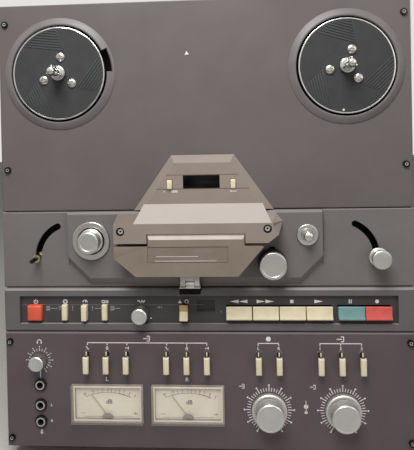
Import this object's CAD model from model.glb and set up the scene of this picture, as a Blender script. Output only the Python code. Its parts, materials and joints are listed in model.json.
"""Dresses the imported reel-to-reel tape recorder and lights it from the photograph's viewpoint.

The frame is the CAD's: X to the right, Y into the case, Z up. Sizes in the classes are millimetres.
On the front, "out" is the height over the face of the reel panel.
"""

import json
import logging
import math
from collections.abc import Callable, Iterable, Sequence
from dataclasses import dataclass, field
from enum import Enum
from functools import cache
from itertools import pairwise

import bmesh
import bpy
from bmesh.types import BMEdge, BMesh, BMVert
from mathutils import Matrix, Vector

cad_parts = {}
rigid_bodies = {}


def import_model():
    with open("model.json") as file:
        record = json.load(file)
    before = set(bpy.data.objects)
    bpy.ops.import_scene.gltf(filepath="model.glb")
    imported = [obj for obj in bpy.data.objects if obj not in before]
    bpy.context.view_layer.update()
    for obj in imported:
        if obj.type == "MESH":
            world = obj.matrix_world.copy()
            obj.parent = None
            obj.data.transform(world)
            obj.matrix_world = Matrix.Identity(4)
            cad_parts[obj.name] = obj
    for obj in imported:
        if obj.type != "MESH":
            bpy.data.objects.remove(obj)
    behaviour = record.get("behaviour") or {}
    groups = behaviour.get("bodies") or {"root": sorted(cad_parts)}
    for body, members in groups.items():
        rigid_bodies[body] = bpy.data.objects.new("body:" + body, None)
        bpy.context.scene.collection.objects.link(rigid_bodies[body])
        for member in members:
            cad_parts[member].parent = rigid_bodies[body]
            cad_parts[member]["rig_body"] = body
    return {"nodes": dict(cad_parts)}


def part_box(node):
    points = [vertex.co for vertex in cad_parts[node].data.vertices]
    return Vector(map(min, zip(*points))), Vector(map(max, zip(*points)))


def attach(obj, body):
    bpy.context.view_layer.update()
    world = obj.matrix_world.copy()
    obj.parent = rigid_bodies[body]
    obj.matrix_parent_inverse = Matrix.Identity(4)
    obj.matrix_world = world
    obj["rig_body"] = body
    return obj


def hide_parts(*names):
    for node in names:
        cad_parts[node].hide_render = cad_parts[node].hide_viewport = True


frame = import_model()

MM = 0.001
# Millimetres in a metre, and the scale at which a wave texture repeats once in a metre
METRE = 1000
WAVE = math.tau / 20
# Square metres from which a face is shaded flat, and angles from which an edge is rounded or drawn sharp
FLAT_AREA = 2.5e-4
ROUND_FROM = math.radians(24)
SHARP_FROM = math.radians(32)
# Angle within which the CAD's triangles are one face, and distance within which their corners are one
SAME_FACE = math.radians(0.5)
SAME_CORNER = 0.002
# Height of a capital in the font's size, and how much its strokes are thickened
CAPITAL = 0.73
STROKE = 0.03
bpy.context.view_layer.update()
FACE_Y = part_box("reel_panel")[0].y / MM
LOG = logging.getLogger("tape_recorder")

Point = tuple[float, float]
Spot = tuple[float, float, float]
Piece = bpy.types.Object
Tree = bpy.types.NodeTree
Node = bpy.types.Node
Socket = bpy.types.NodeSocket
# Test of a shell's lowest and highest corner, or of a face's middle and normal
Test = Callable[[Vector, Vector], bool]


class Side(Enum):
    """The two sides of the deck, with the sign of X."""

    LEFT = -1
    RIGHT = 1

    @property
    def word(self) -> str:
        """The side's name as the CAD nodes spell it."""
        return self.name.lower()


class Symbol(Enum):
    """The plain pictograms that stand by the controls."""

    REWIND = "two triangles to the left"
    FORWARD = "two triangles to the right"
    STOP = "square"
    PLAY = "triangle to the right"
    PAUSE = "two bars"
    RECORD = "disc"
    POWER = "broken ring and bar"
    REEL = "ring with three dots"
    SPEED = "dial with a hand"
    SPLICE = "two parted bars"
    PITCH = "wave"
    CUE = "triangle upward"
    MICROPHONE = "capsule on a stand"
    PLUG = "arrow into a bar"
    PAD = "stepped line"
    ARROW_IN = "arrow into a box"
    ARROW_OUT = "arrow out of a box"
    PHONES = "headband and two cups"
    HEAD = "ring with a gap"
    BALANCE = "two beads on a rod"
    RETURN = "hooked arrow"


# Finishes


def linear(code: str) -> tuple[float, float, float, float]:
    """Turns an sRGB hex value to linear light.

    Args:
        code: Colour such as "#6e6867".

    Returns:
        Red, green, blue and an alpha of 1.
    """
    parts = [int(code[i:i + 2], 16) / 255 for i in (1, 3, 5)]
    red, green, blue = (c / 12.92 if c <= 0.04045 else ((c + 0.055) / 1.055) ** 2.4 for c in parts)
    return red, green, blue, 1.0


def feed(tree: Tree, node: Node, inputs: dict) -> None:
    """Sets inputs of a node.

    Args:
        tree: Node tree of the node.
        node: The node.
        inputs: Socket name or number to a constant, or to the output socket that feeds it.
    """
    for key, value in inputs.items():
        if isinstance(value, Socket):
            tree.links.new(value, node.inputs[key])
        else:
            node.inputs[key].default_value = value


def add_node(tree: Tree, kind: str, inputs: dict | None = None, **settings: object) -> Node:
    """Adds a shader node with its settings, constants and links.

    Args:
        tree: Node tree that gets the node.
        kind: Node type without the leading "ShaderNode".
        inputs: What its inputs are set to.
        **settings: Properties of the node.

    Returns:
        The new node.
    """
    node = tree.nodes.new(f"ShaderNode{kind}")
    for name, value in settings.items():
        setattr(node, name, value)
    feed(tree, node, inputs or {})
    return node


@dataclass(frozen=True)
class Finish:
    """A surface as it was made, turned into one node material on Object coordinates.

    Attributes:
        name: What the material is and how its surface was made.
        colour: Main colour, sRGB hex.
        roughness: Middle roughness of the surface.
        specular: Specular level of the shader, 0.5 for a clean dielectric.
    """

    name: str
    colour: str
    roughness: float = 0.5
    specular: float = 0.5

    @cache
    def material(self) -> bpy.types.Material:
        """Makes the material the first time and gives the same one after that.

        Returns:
            The material.
        """
        made = bpy.data.materials.new(self.name)
        made.use_nodes = True
        tree = made.node_tree
        shader = tree.nodes["Principled BSDF"]
        feed(tree, shader, {"Roughness": self.roughness, "Specular IOR Level": self.specular})
        self.shade(tree, shader)
        return made

    def shade(self, tree: Tree, shader: Node) -> None:
        """Adds the surface's own patterns to a node tree and its Principled shader."""
        raise NotImplementedError(self.name)

    def coat(self, tree: Tree, shader: Node, layers: Sequence[tuple[Socket, str]], gloss: Sequence = (),
             grain: Sequence = ()) -> None:
        """Ties colours, gloss and grain to the shader.

        Args:
            tree: Node tree of the material.
            shader: Its Principled shader.
            layers: Colours over the main one, each after the pattern of its share.
            gloss: Pattern of the gloss, the two values where it ends, and what these add to the roughness.
            grain: Pattern of the grain, its strength and its depth in millimetres.
        """
        paint = linear(self.colour)
        for share, colour in layers:
            paint = add_node(tree, "Mix", {0: share, 6: paint, 7: linear(colour)}, data_type="RGBA").outputs[2]
        feed(tree, shader, {"Base Color": paint})
        if gloss:
            pattern, low, high, first, last = gloss
            level = add_node(tree, "MapRange", {"Value": pattern, "From Min": low, "From Max": high,
                                                "To Min": self.roughness + first, "To Max": self.roughness + last})
            feed(tree, shader, {"Roughness": level.outputs[0]})
        if grain:
            pattern, strength, depth = grain
            bump = add_node(tree, "Bump", {"Height": pattern, "Strength": strength, "Distance": depth * MM})
            feed(tree, shader, {"Normal": bump.outputs[0]})


@dataclass(frozen=True)
class StovedEnamel(Finish):
    """Stoved enamel sprayed on sheet steel.

    A satin skin: faint orange peel in the highlights, cloudy patches where hands and dust have
    rubbed it, and a few pinhead chips down to the pale primer.

    Attributes:
        rubbed: Colour of the rubbed patches.
        cloud_mm: Size of the patches.
        peel_mm: Size of the orange peel, drawn a little coarse so that it shows.
        chip_cell_mm: Mean distance of the chips.
        chip_share: Share of the cells that hold a chip.
        chip_mm: Radius of a chip.
        primer: Colour of the primer in the chips.
        recess: Colour of the faces that lie deep, or empty.
        recess_out: Height over the reel panel under which a face counts as deep.
        dust: Share of pale dust on the faces that look up.
        dust_colour: Colour of the dust.
    """

    rubbed: str = "#7a7573"
    cloud_mm: float = 95.0
    peel_mm: float = 1.6
    chip_cell_mm: float = 26.0
    chip_share: float = 0.0
    chip_mm: float = 0.42
    primer: str = "#b9b1ac"
    recess: str = ""
    recess_out: float = 1.2
    dust: float = 0.0
    dust_colour: str = "#d2cac4"

    def shade(self, tree: Tree, shader: Node) -> None:
        """Adds clouds, dust, chips, uneven gloss and orange peel.

        Args:
            tree: Node tree of the material.
            shader: Its Principled shader.
        """
        spots = add_node(tree, "TexCoord").outputs
        place = spots["Object"]
        cloud = add_node(tree, "TexNoise", {"Vector": place, "Scale": METRE / self.cloud_mm, "Detail": 5.0,
                                            "Roughness": 0.62}).outputs["Fac"]
        amount = add_node(tree, "MapRange", {"Value": cloud, "From Min": 0.36, "From Max": 0.66})
        layers = [(amount.outputs[0], self.rubbed)]
        if self.recess:
            depth = add_node(tree, "SeparateXYZ", {0: place}).outputs["Y"]
            deep = add_node(tree, "Math", {0: depth, 1: (FACE_Y - self.recess_out) * MM}, operation="GREATER_THAN")
            layers.append((deep.outputs[0], self.recess))
        upward = add_node(tree, "SeparateXYZ", {0: spots["Normal"]}).outputs["Z"]
        settled = add_node(tree, "MapRange", {"Value": upward, "From Min": 0.2, "From Max": 0.8, "To Max": self.dust})
        # The front lies in X and Z, so the flat cells of the chips are turned into that plane
        upright = add_node(tree, "Mapping", {"Vector": place, "Rotation": (math.pi / 2, 0.0, 0.0)})
        cells = add_node(tree, "TexVoronoi", {"Vector": upright.outputs[0], "Scale": METRE / self.chip_cell_mm},
                         voronoi_dimensions="2D")
        pinhead = add_node(tree, "Math", {0: cells.outputs["Distance"], 1: self.chip_mm / self.chip_cell_mm},
                           operation="LESS_THAN")
        few = add_node(tree, "Math", {0: cells.outputs["Color"], 1: self.chip_share}, operation="LESS_THAN")
        chip = add_node(tree, "Math", {0: pinhead.outputs[0], 1: few.outputs[0]}, operation="MULTIPLY")
        layers += [(settled.outputs[0], self.dust_colour), (chip.outputs[0], self.primer)]
        peel = add_node(tree, "TexNoise", {"Vector": place, "Scale": METRE / self.peel_mm, "Detail": 2.0})
        self.coat(tree, shader, layers, (cloud, 0.3, 0.7, 0.07, -0.07), (peel.outputs["Fac"], 0.09, 0.2))


@dataclass(frozen=True)
class WrinklePaint(Finish):
    """Wrinkle paint baked on the steel case: dark and matt, with a leathery net of small ridges.

    Attributes:
        ridge: Colour of the rubbed ridges.
        ridge_mm: Distance of the ridges.
        dust_mm: Size of the dusty patches.
    """

    ridge: str = "#5b5658"
    ridge_mm: float = 1.5
    dust_mm: float = 60.0

    def shade(self, tree: Tree, shader: Node) -> None:
        """Adds the net of ridges and its dust.

        Args:
            tree: Node tree of the material.
            shader: Its Principled shader.
        """
        place = add_node(tree, "TexCoord").outputs["Object"]
        net = add_node(tree, "TexVoronoi", {"Vector": place, "Scale": METRE / self.ridge_mm, "Randomness": 0.9},
                       feature="SMOOTH_F1").outputs["Distance"]
        dust = add_node(tree, "TexNoise", {"Vector": place, "Scale": METRE / self.dust_mm, "Detail": 4.0})
        rub = add_node(tree, "Math", {0: net, 1: dust.outputs["Fac"]}, operation="MULTIPLY")
        self.coat(tree, shader, [(rub.outputs[0], self.ridge)])
        bump = add_node(tree, "Bump", {"Height": net, "Strength": 0.45, "Distance": 0.25 * MM}, invert=True)
        feed(tree, shader, {"Normal": bump.outputs[0]})


@dataclass(frozen=True)
class MouldedAbs(Finish):
    """Injection moulded ABS.

    Even colour that has yellowed in patches, a fine spark texture, and more shine where it is touched.

    Attributes:
        aged: Colour of the aged patches.
        patch_mm: Size of the patches.
        grain_mm: Size of the spark texture, drawn coarser than real so that it shows.
    """

    aged: str = "#d6c08c"
    patch_mm: float = 9.0
    grain_mm: float = 0.7

    def shade(self, tree: Tree, shader: Node) -> None:
        """Adds ageing, touch marks and spark texture.

        Args:
            tree: Node tree of the material.
            shader: Its Principled shader.
        """
        place = add_node(tree, "TexCoord").outputs["Object"]
        patch = add_node(tree, "TexNoise", {"Vector": place, "Scale": METRE / self.patch_mm, "Detail": 4.0,
                                            "Roughness": 0.6}).outputs["Fac"]
        amount = add_node(tree, "MapRange", {"Value": patch, "From Min": 0.38, "From Max": 0.72})
        grain = add_node(tree, "TexNoise", {"Vector": place, "Scale": METRE / self.grain_mm, "Detail": 1.0})
        self.coat(tree, shader, [(amount.outputs[0], self.aged)], (patch, 0.3, 0.7, 0.08, -0.08),
                  (grain.outputs["Fac"], 0.07, 0.1))


@dataclass(frozen=True)
class TurnedAluminium(Finish):
    """Aluminium faced on a lathe and clear anodised: soft silver with fine rings about its own axis.

    Attributes:
        x: X of the axis.
        z: Z of the axis.
        ring_mm: Distance of the tool marks, drawn coarser than real so that they show.
        dull: Colour in the tool marks.
        cloud_mm: Size of the clouds in the anodising.
    """

    x: float = 0.0
    z: float = 0.0
    ring_mm: float = 0.8
    dull: str = "#b7b7b3"
    cloud_mm: float = 7.0

    def shade(self, tree: Tree, shader: Node) -> None:
        """Adds tool marks about the axis and cloudy anodising.

        Args:
            tree: Node tree of the material.
            shader: Its Principled shader.
        """
        feed(tree, shader, {"Metallic": 1.0})
        place = add_node(tree, "TexCoord").outputs["Object"]
        centred = add_node(tree, "Mapping", {"Vector": place, "Location": (-self.x * MM, 0.0, -self.z * MM)})
        rings = add_node(tree, "TexWave", {"Vector": centred.outputs[0], "Scale": WAVE / self.ring_mm / MM,
                                           "Distortion": 1.5, "Detail": 2.0, "Detail Scale": 1.2},
                         wave_type="RINGS", rings_direction="Y").outputs["Fac"]
        cloud = add_node(tree, "TexNoise", {"Vector": place, "Scale": METRE / self.cloud_mm, "Detail": 3.0})
        mark = add_node(tree, "Math", {0: rings, 1: cloud.outputs["Fac"]}, operation="MULTIPLY").outputs[0]
        self.coat(tree, shader, [(mark, self.dull)], (mark, 0.0, 1.0, -0.05, 0.14), (rings, 0.1, 0.04))


@dataclass(frozen=True)
class PlatedMetal(Finish):
    """Plated or bare metal with a drawn or ground surface: bright, with fine scratches and tarnish clouds.

    Attributes:
        tarnish: Colour of the tarnish.
        scratch_mm: Spacing of the scratches across their run.
        run: Stretch of the scratches along X, Y and Z; a small number is a long run.
        cloud_mm: Size of the tarnish clouds.
    """

    tarnish: str = "#8f8d86"
    scratch_mm: float = 0.5
    run: Spot = (1.0, 0.08, 1.0)
    cloud_mm: float = 12.0

    def shade(self, tree: Tree, shader: Node) -> None:
        """Adds scratches along the run and tarnish.

        Args:
            tree: Node tree of the material.
            shader: Its Principled shader.
        """
        feed(tree, shader, {"Metallic": 1.0})
        place = add_node(tree, "TexCoord").outputs["Object"]
        drawn = add_node(tree, "Mapping", {"Vector": place, "Scale": self.run})
        scratch = add_node(tree, "TexNoise", {"Vector": drawn.outputs[0], "Scale": METRE / self.scratch_mm,
                                              "Detail": 2.0}).outputs["Fac"]
        cloud = add_node(tree, "TexNoise", {"Vector": place, "Scale": METRE / self.cloud_mm, "Detail": 5.0})
        amount = add_node(tree, "MapRange", {"Value": cloud.outputs["Fac"], "From Min": 0.42, "From Max": 0.75})
        self.coat(tree, shader, [(amount.outputs[0], self.tarnish)], (scratch, 0.3, 0.7, -0.07, 0.1),
                  (scratch, 0.06, 0.05))


@dataclass(frozen=True)
class MouldedRubber(Finish):
    """Moulded nitrile rubber: dead matt, dark, with a grey bloom of dust that gathers in patches.

    Attributes:
        bloom: Colour of the dusty bloom.
        patch_mm: Size of the dusty patches.
        grain_mm: Size of the skin's grain.
    """

    bloom: str = "#5c5f5e"
    patch_mm: float = 14.0
    grain_mm: float = 0.9

    def shade(self, tree: Tree, shader: Node) -> None:
        """Adds bloom, dust grains and skin grain.

        Args:
            tree: Node tree of the material.
            shader: Its Principled shader.
        """
        place = add_node(tree, "TexCoord").outputs["Object"]
        patch = add_node(tree, "TexNoise", {"Vector": place, "Scale": METRE / self.patch_mm, "Detail": 5.0,
                                            "Roughness": 0.65}).outputs["Fac"]
        grain = add_node(tree, "TexNoise", {"Vector": place, "Scale": METRE / self.grain_mm,
                                            "Detail": 2.0}).outputs["Fac"]
        dust = add_node(tree, "Math", {0: patch, 1: grain}, operation="MULTIPLY").outputs[0]
        amount = add_node(tree, "MapRange", {"Value": dust, "From Min": 0.18, "From Max": 0.42})
        self.coat(tree, shader, [(amount.outputs[0], self.bloom)], (dust, 0.15, 0.45, -0.1, 0.1), (grain, 0.15, 0.1))


@dataclass(frozen=True)
class CastAcrylic(Finish):
    """Polished acrylic: see-through, glossy, with faint wiping smears.

    Attributes:
        cover: Share of the surface's own colour that shows, 0 for clear and 1 for opaque.
        smear_mm: Width of the smears.
        haze: Strength of the pale smears.
        smear: Colour of the smears.
        ior: Index of refraction.
    """

    cover: float = 0.14
    smear_mm: float = 6.0
    haze: float = 0.35
    smear: str = "#d8d4cc"
    ior: float = 1.49

    def shade(self, tree: Tree, shader: Node) -> None:
        """Adds transparency and smears in the gloss.

        Args:
            tree: Node tree of the material.
            shader: Its Principled shader.
        """
        feed(tree, shader, {"Alpha": self.cover, "IOR": self.ior})
        place = add_node(tree, "TexCoord").outputs["Object"]
        wiped = add_node(tree, "Mapping", {"Vector": place, "Scale": (0.3, 1.0, 1.0), "Rotation": (0.0, 0.5, 0.0)})
        smear = add_node(tree, "TexNoise", {"Vector": wiped.outputs[0], "Scale": METRE / self.smear_mm,
                                            "Detail": 4.0}).outputs["Fac"]
        haze = add_node(tree, "MapRange", {"Value": smear, "From Min": 0.35, "From Max": 0.75, "To Max": self.haze})
        self.coat(tree, shader, [(haze.outputs[0], self.smear)], (smear, 0.35, 0.7, 0.0, 0.16))


@dataclass(frozen=True)
class PrintedCard(Finish):
    """Coated card, or ink on a surface: matt, with fibres, and uneven where it has faded.

    Attributes:
        faded: Colour of the faded patches.
        fade_mm: Size of the faded patches.
        fibre_mm: Size of the fibres or of the ink's mesh marks.
    """

    faded: str = "#cabf9f"
    fade_mm: float = 16.0
    fibre_mm: float = 0.5

    def shade(self, tree: Tree, shader: Node) -> None:
        """Adds fading and fibres.

        Args:
            tree: Node tree of the material.
            shader: Its Principled shader.
        """
        place = add_node(tree, "TexCoord").outputs["Object"]
        fade = add_node(tree, "TexNoise", {"Vector": place, "Scale": METRE / self.fade_mm,
                                           "Detail": 3.0}).outputs["Fac"]
        fibre = add_node(tree, "TexNoise", {"Vector": place, "Scale": METRE / self.fibre_mm,
                                            "Detail": 2.0}).outputs["Fac"]
        mixed = add_node(tree, "Math", {0: fade, 1: fibre}, operation="MULTIPLY")
        amount = add_node(tree, "MapRange", {"Value": mixed.outputs[0], "From Min": 0.14, "From Max": 0.42})
        self.coat(tree, shader, [(amount.outputs[0], self.faded)], grain=(fibre, 0.08, 0.05))


@dataclass(frozen=True)
class GlassEpoxy(Finish):
    """Glass cloth in green epoxy: a fine square weave under a glossy lacquer.

    Attributes:
        weave_mm: Pitch of the glass cloth.
        lacquer: Colour where the lacquer is thick.
    """

    weave_mm: float = 1.2
    lacquer: str = "#2f5238"

    def shade(self, tree: Tree, shader: Node) -> None:
        """Adds the weave in both directions.

        Args:
            tree: Node tree of the material.
            shader: Its Principled shader.
        """
        place = add_node(tree, "TexCoord").outputs["Object"]
        weft, warp = (add_node(tree, "TexWave", {"Vector": place, "Scale": WAVE / self.weave_mm / MM},
                               bands_direction=way).outputs["Fac"] for way in ("X", "Z"))
        weave = add_node(tree, "Math", {0: weft, 1: warp}, operation="MULTIPLY").outputs[0]
        self.coat(tree, shader, [(weave, self.lacquer)], grain=(weave, 0.1, 0.05))


# Sprayed sheet steel of the front
REEL_ENAMEL = StovedEnamel("stoved_enamel_grey_brown", "#635d5c", 0.5, 0.2, rubbed="#6b6564", chip_share=0.02,
                           dust=0.12)
DECK_ENAMEL = StovedEnamel("stoved_enamel_deck_grey", "#706b6a", 0.5, 0.2, rubbed="#777271", cloud_mm=60, dust=0.12)
AMP_ENAMEL = StovedEnamel("stoved_enamel_plum_grey", "#5a4f52", 0.5, 0.2, rubbed="#61565a", chip_cell_mm=19,
                          chip_share=0.05, dust=0.12)
STRIP_ENAMEL = StovedEnamel("stoved_enamel_strip_grey", "#625e5f", 0.42, 0.25, rubbed="#6a6667", cloud_mm=50,
                            recess="#474445", dust=0.3)
COVER_ENAMEL = StovedEnamel("stoved_enamel_warm_taupe", "#8f837a", 0.44, 0.3, rubbed="#968a81", cloud_mm=45)
COVER_ROOF = StovedEnamel("stoved_enamel_dusty_roof", "#948880", 0.44, 0.3, rubbed="#9b8f87", cloud_mm=45, dust=0.4)
COVER_WORN = StovedEnamel("stoved_enamel_worn_tab", "#d2c7be", 0.4, 0.4, rubbed="#c6bab0", cloud_mm=20)
LID_ENAMEL = StovedEnamel("stoved_enamel_lid_taupe", "#827569", 0.44, 0.3, rubbed="#8b7e73", cloud_mm=35)
COVER_ENDS = StovedEnamel("stoved_enamel_cover_ends", "#82766d", 0.5, 0.2, rubbed="#7b7067", cloud_mm=45)
CASE_WRINKLE = WrinklePaint("wrinkle_paint_dark_case", "#3f3b3d", 0.7, 0.3)
# Mouldings
CREAM_ABS = MouldedAbs("moulded_abs_cream", "#e6dbbf", 0.42, 0.4, aged="#ddcfaa")
TAN_ABS = MouldedAbs("moulded_abs_tan", "#b59c72", 0.42, 0.4, aged="#a68b62")
RED_ABS = MouldedAbs("moulded_abs_red", "#e26148", 0.38, 0.4, aged="#d6573f")
RECORD_ABS = MouldedAbs("moulded_abs_carmine", "#d75e56", 0.38, 0.4, aged="#ca544d")
TEAL_ABS = MouldedAbs("moulded_abs_teal", "#779c9c", 0.38, 0.4, aged="#6d9191")
RING_ABS = MouldedAbs("moulded_abs_trim_grey", "#757070", 0.42, 0.35, aged="#6b6666", patch_mm=30)
BEZEL_ABS = MouldedAbs("moulded_abs_bezel_beige", "#998b80", 0.45, 0.35, aged="#8e8075", patch_mm=20)
BLACK_ABS = MouldedAbs("moulded_abs_black", "#232223", 0.45, 0.4, aged="#2d2b2b")
PIVOT_ABS = MouldedAbs("moulded_abs_pivot_grey", "#8a8480", 0.36, 0.4, aged="#7d7773")
LENS_ABS = MouldedAbs("moulded_abs_frosted_grey", "#7d7a78", 0.5, 0.4, aged="#716e6c")
# Metals
NICKEL = PlatedMetal("nickel_plated_brass", "#cfccc5", 0.2, tarnish="#a9a49a", cloud_mm=6)
SATIN_NICKEL = PlatedMetal("satin_nickel_hinge", "#bdbcb7", 0.68, tarnish="#a09e98", cloud_mm=8)
STEEL = PlatedMetal("ground_steel", "#b9b7b1", 0.28, tarnish="#8d8a84")
BRASS = PlatedMetal("drawn_brass", "#c2b694", 0.3, tarnish="#94876a", cloud_mm=5)
ZINC = PlatedMetal("zinc_plated_steel", "#a9abab", 0.4, tarnish="#97927d", cloud_mm=22, scratch_mm=1.2)
IRON = PlatedMetal("lacquered_iron", "#6f6f6c", 0.5, tarnish="#55534f", cloud_mm=15)
DARK_STEEL = PlatedMetal("blackened_steel_frame", "#161515", 0.62, tarnish="#211f1e", cloud_mm=18)
BLACK_OXIDE = PlatedMetal("black_oxide_steel", "#2c2b2b", 0.38, tarnish="#4a4340", cloud_mm=3)
# Rubber, acrylic, card, ink
MAT_RUBBER = MouldedRubber("moulded_rubber_mat", "#393a3a", 0.74, 0.2, bloom="#444545")
RIB_RUBBER = MouldedRubber("moulded_rubber_ribs", "#404242", 0.66, 0.25, bloom="#4b4d4c", patch_mm=6)
TYRE_RUBBER = MouldedRubber("ground_rubber_tyre", "#1d1d1e", 0.66, 0.3, bloom="#2f2f30")
FOOT_RUBBER = MouldedRubber("moulded_rubber_foot", "#1e1d1d", 0.75, 0.3, bloom="#3a3837")
CLEAR = CastAcrylic("clear_acrylic_lens", "#e8e4da", 0.06, 0.4, cover=0.08)
LENS_EDGE = CastAcrylic("clear_acrylic_edge", "#94877c", 0.3, 0.4, cover=0.9, haze=0.1)
SMOKED = CastAcrylic("smoked_acrylic_window", "#070808", 0.08, 0.12, cover=0.94, haze=0.015)
LABEL_ACRYLIC = CastAcrylic("tinted_acrylic_label_strip", "#85796f", 0.2, 0.3, cover=0.9, haze=0.06)
LABEL_EDGE = CastAcrylic("polished_acrylic_rib", "#d3cac2", 0.1, 0.5, cover=0.85)
DIAL_CARD = PrintedCard("coated_card_cream", "#f3ebdc", 0.8, 0.2, faded="#e9dfcb")
WHITE_INK = PrintedCard("screen_ink_white", "#f2efeb", 0.55, 0.3, faded="#d9d5d0", fade_mm=5)
PALE_INK = PrintedCard("screen_ink_pale_grey", "#c3bfbb", 0.55, 0.3, faded="#a8a4a0", fade_mm=5)
GREY_INK = PrintedCard("screen_ink_grey", "#8d8a88", 0.55, 0.3, faded="#757270", fade_mm=5)
GREEN_INK = PrintedCard("screen_ink_grey_green", "#7d8a76", 0.7, 0.2, faded="#98a28c", fade_mm=5)
BLACK_INK = PrintedCard("screen_ink_black", "#3b3a37", 0.7, 0.2, faded="#55534e", fade_mm=5)
RED_INK = PrintedCard("screen_ink_red_brown", "#8f4a3e", 0.7, 0.2, faded="#a4695c", fade_mm=5)
NEEDLE_PAINT = PrintedCard("lacquer_needle_grey", "#b5af9d", 0.5, 0.3, faded="#bab4a3", fade_mm=5)
PRIMER = PrintedCard("bare_primer", "#f0ece8", 0.7, 0.2, faded="#e0dad5", fade_mm=2)
SEGMENT_GLASS = PrintedCard("unlit_display_segment", "#3c4a48", 0.4, 0.4, faded="#2e3a39", fade_mm=4)
BOARD = GlassEpoxy("glass_epoxy_board", "#3f6a46", 0.35)
FLOOR_PAPER = PrintedCard("matt_paper_floor", "#d3d0cc", 0.9, 0.1, faded="#cbc8c4", fade_mm=400, fibre_mm=8)


# Mesh helpers


def on_face(x: float, z: float, out: float = 0.0, turn: float = 0.0) -> Matrix:
    """Gives a place on the front, turned in degrees as seen from there; local x is X, y is Z and z points out."""
    return (Matrix.Translation((x, FACE_Y - out, z)) @ Matrix.Rotation(math.pi / 2, 4, "X")
            @ Matrix.Rotation(math.radians(turn), 4, "Z"))


def on_rear(x: float, z: float, out: float = 0.0) -> Matrix:
    """Gives a place on the rear wall, with local z pointing away from the case."""
    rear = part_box("case_tub")[1].y / MM
    return Matrix.Translation((x, rear + out, z)) @ Matrix.Rotation(-math.pi / 2, 4, "X")


def heading(turn: float) -> Vector:
    """Gives the unit direction at an angle in degrees from X."""
    return Vector((math.cos(math.radians(turn)), math.sin(math.radians(turn))))


def extent(verts: Sequence[BMVert]) -> tuple[Vector, Vector]:
    """Gives the lowest and the highest corner of the box round some vertices."""
    low, high = (Vector(end(v.co[i] for v in verts) for i in range(3)) for end in (min, max))
    return low, high


def wide(least: float, most: float = math.inf) -> Test:
    """Makes the test for shells whose width along X lies between two values."""
    return lambda low, high: least < high.x - low.x < most


def moved(mesh: BMesh, place: Matrix) -> BMesh:
    """Moves a mesh to its place and gives it back."""
    bmesh.ops.transform(mesh, matrix=place, verts=mesh.verts)
    return mesh


def soften(mesh: BMesh, edges: Sequence[BMEdge], width: float) -> None:
    """Rounds some edges of a mesh with a bevel of the given width."""
    bmesh.ops.bevel(mesh, geom=edges, offset=width, offset_type="OFFSET", segments=2, profile=0.5, affect="EDGES",
                    material=-1, clamp_overlap=True)


def join(target: BMesh, part: BMesh, place: Matrix | None = None) -> None:
    """Adds one mesh to another and frees it.

    Args:
        target: Mesh that grows.
        part: Mesh that is added.
        place: Where it goes.
    """
    if place is not None:
        moved(part, place)
    shape = bpy.data.meshes.new("part")
    part.to_mesh(shape)
    part.free()
    target.from_mesh(shape)
    bpy.data.meshes.remove(shape)


def add_block(target: BMesh, size: Sequence[float], place: Matrix, bevel: float = 0.0) -> None:
    """Adds a block with softened edges.

    Args:
        target: Mesh that gets the block.
        size: Its three sizes.
        place: Place of its middle.
        bevel: Width of the edge bevel.
    """
    part = bmesh.new()
    bmesh.ops.create_cube(part, size=1.0, matrix=Matrix.Diagonal((*size, 1.0)))
    if bevel:
        soften(part, part.edges[:], bevel)
    join(target, part, place)


def lathe(profile: Iterable[Point], steps: int = 48, start: float = 0.0, sweep: float = 360.0) -> BMesh:
    """Spins a profile about the local z axis.

    Args:
        profile: Pairs of radius and height along the surface; a part turn needs a closed profile.
        steps: Steps of the turn.
        start: Angle from local x where the turn begins, in degrees.
        sweep: Angle of the turn in degrees.

    Returns:
        The turned shape.
    """
    mesh = bmesh.new()
    first = Matrix.Rotation(math.radians(start), 3, "Z")
    chain = [mesh.verts.new(first @ Vector((radius, 0.0, height))) for radius, height in profile]
    edges = [mesh.edges.new(pair) for pair in pairwise(chain)]
    bmesh.ops.spin(mesh, geom=chain + edges, cent=(0, 0, 0), axis=(0, 0, 1), angle=math.radians(sweep), steps=steps,
                   use_merge=sweep == 360.0, use_duplicate=False)
    bmesh.ops.remove_doubles(mesh, verts=mesh.verts, dist=1e-4)
    bmesh.ops.holes_fill(mesh, edges=mesh.edges)
    bmesh.ops.recalc_face_normals(mesh, faces=mesh.faces)
    return mesh


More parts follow.
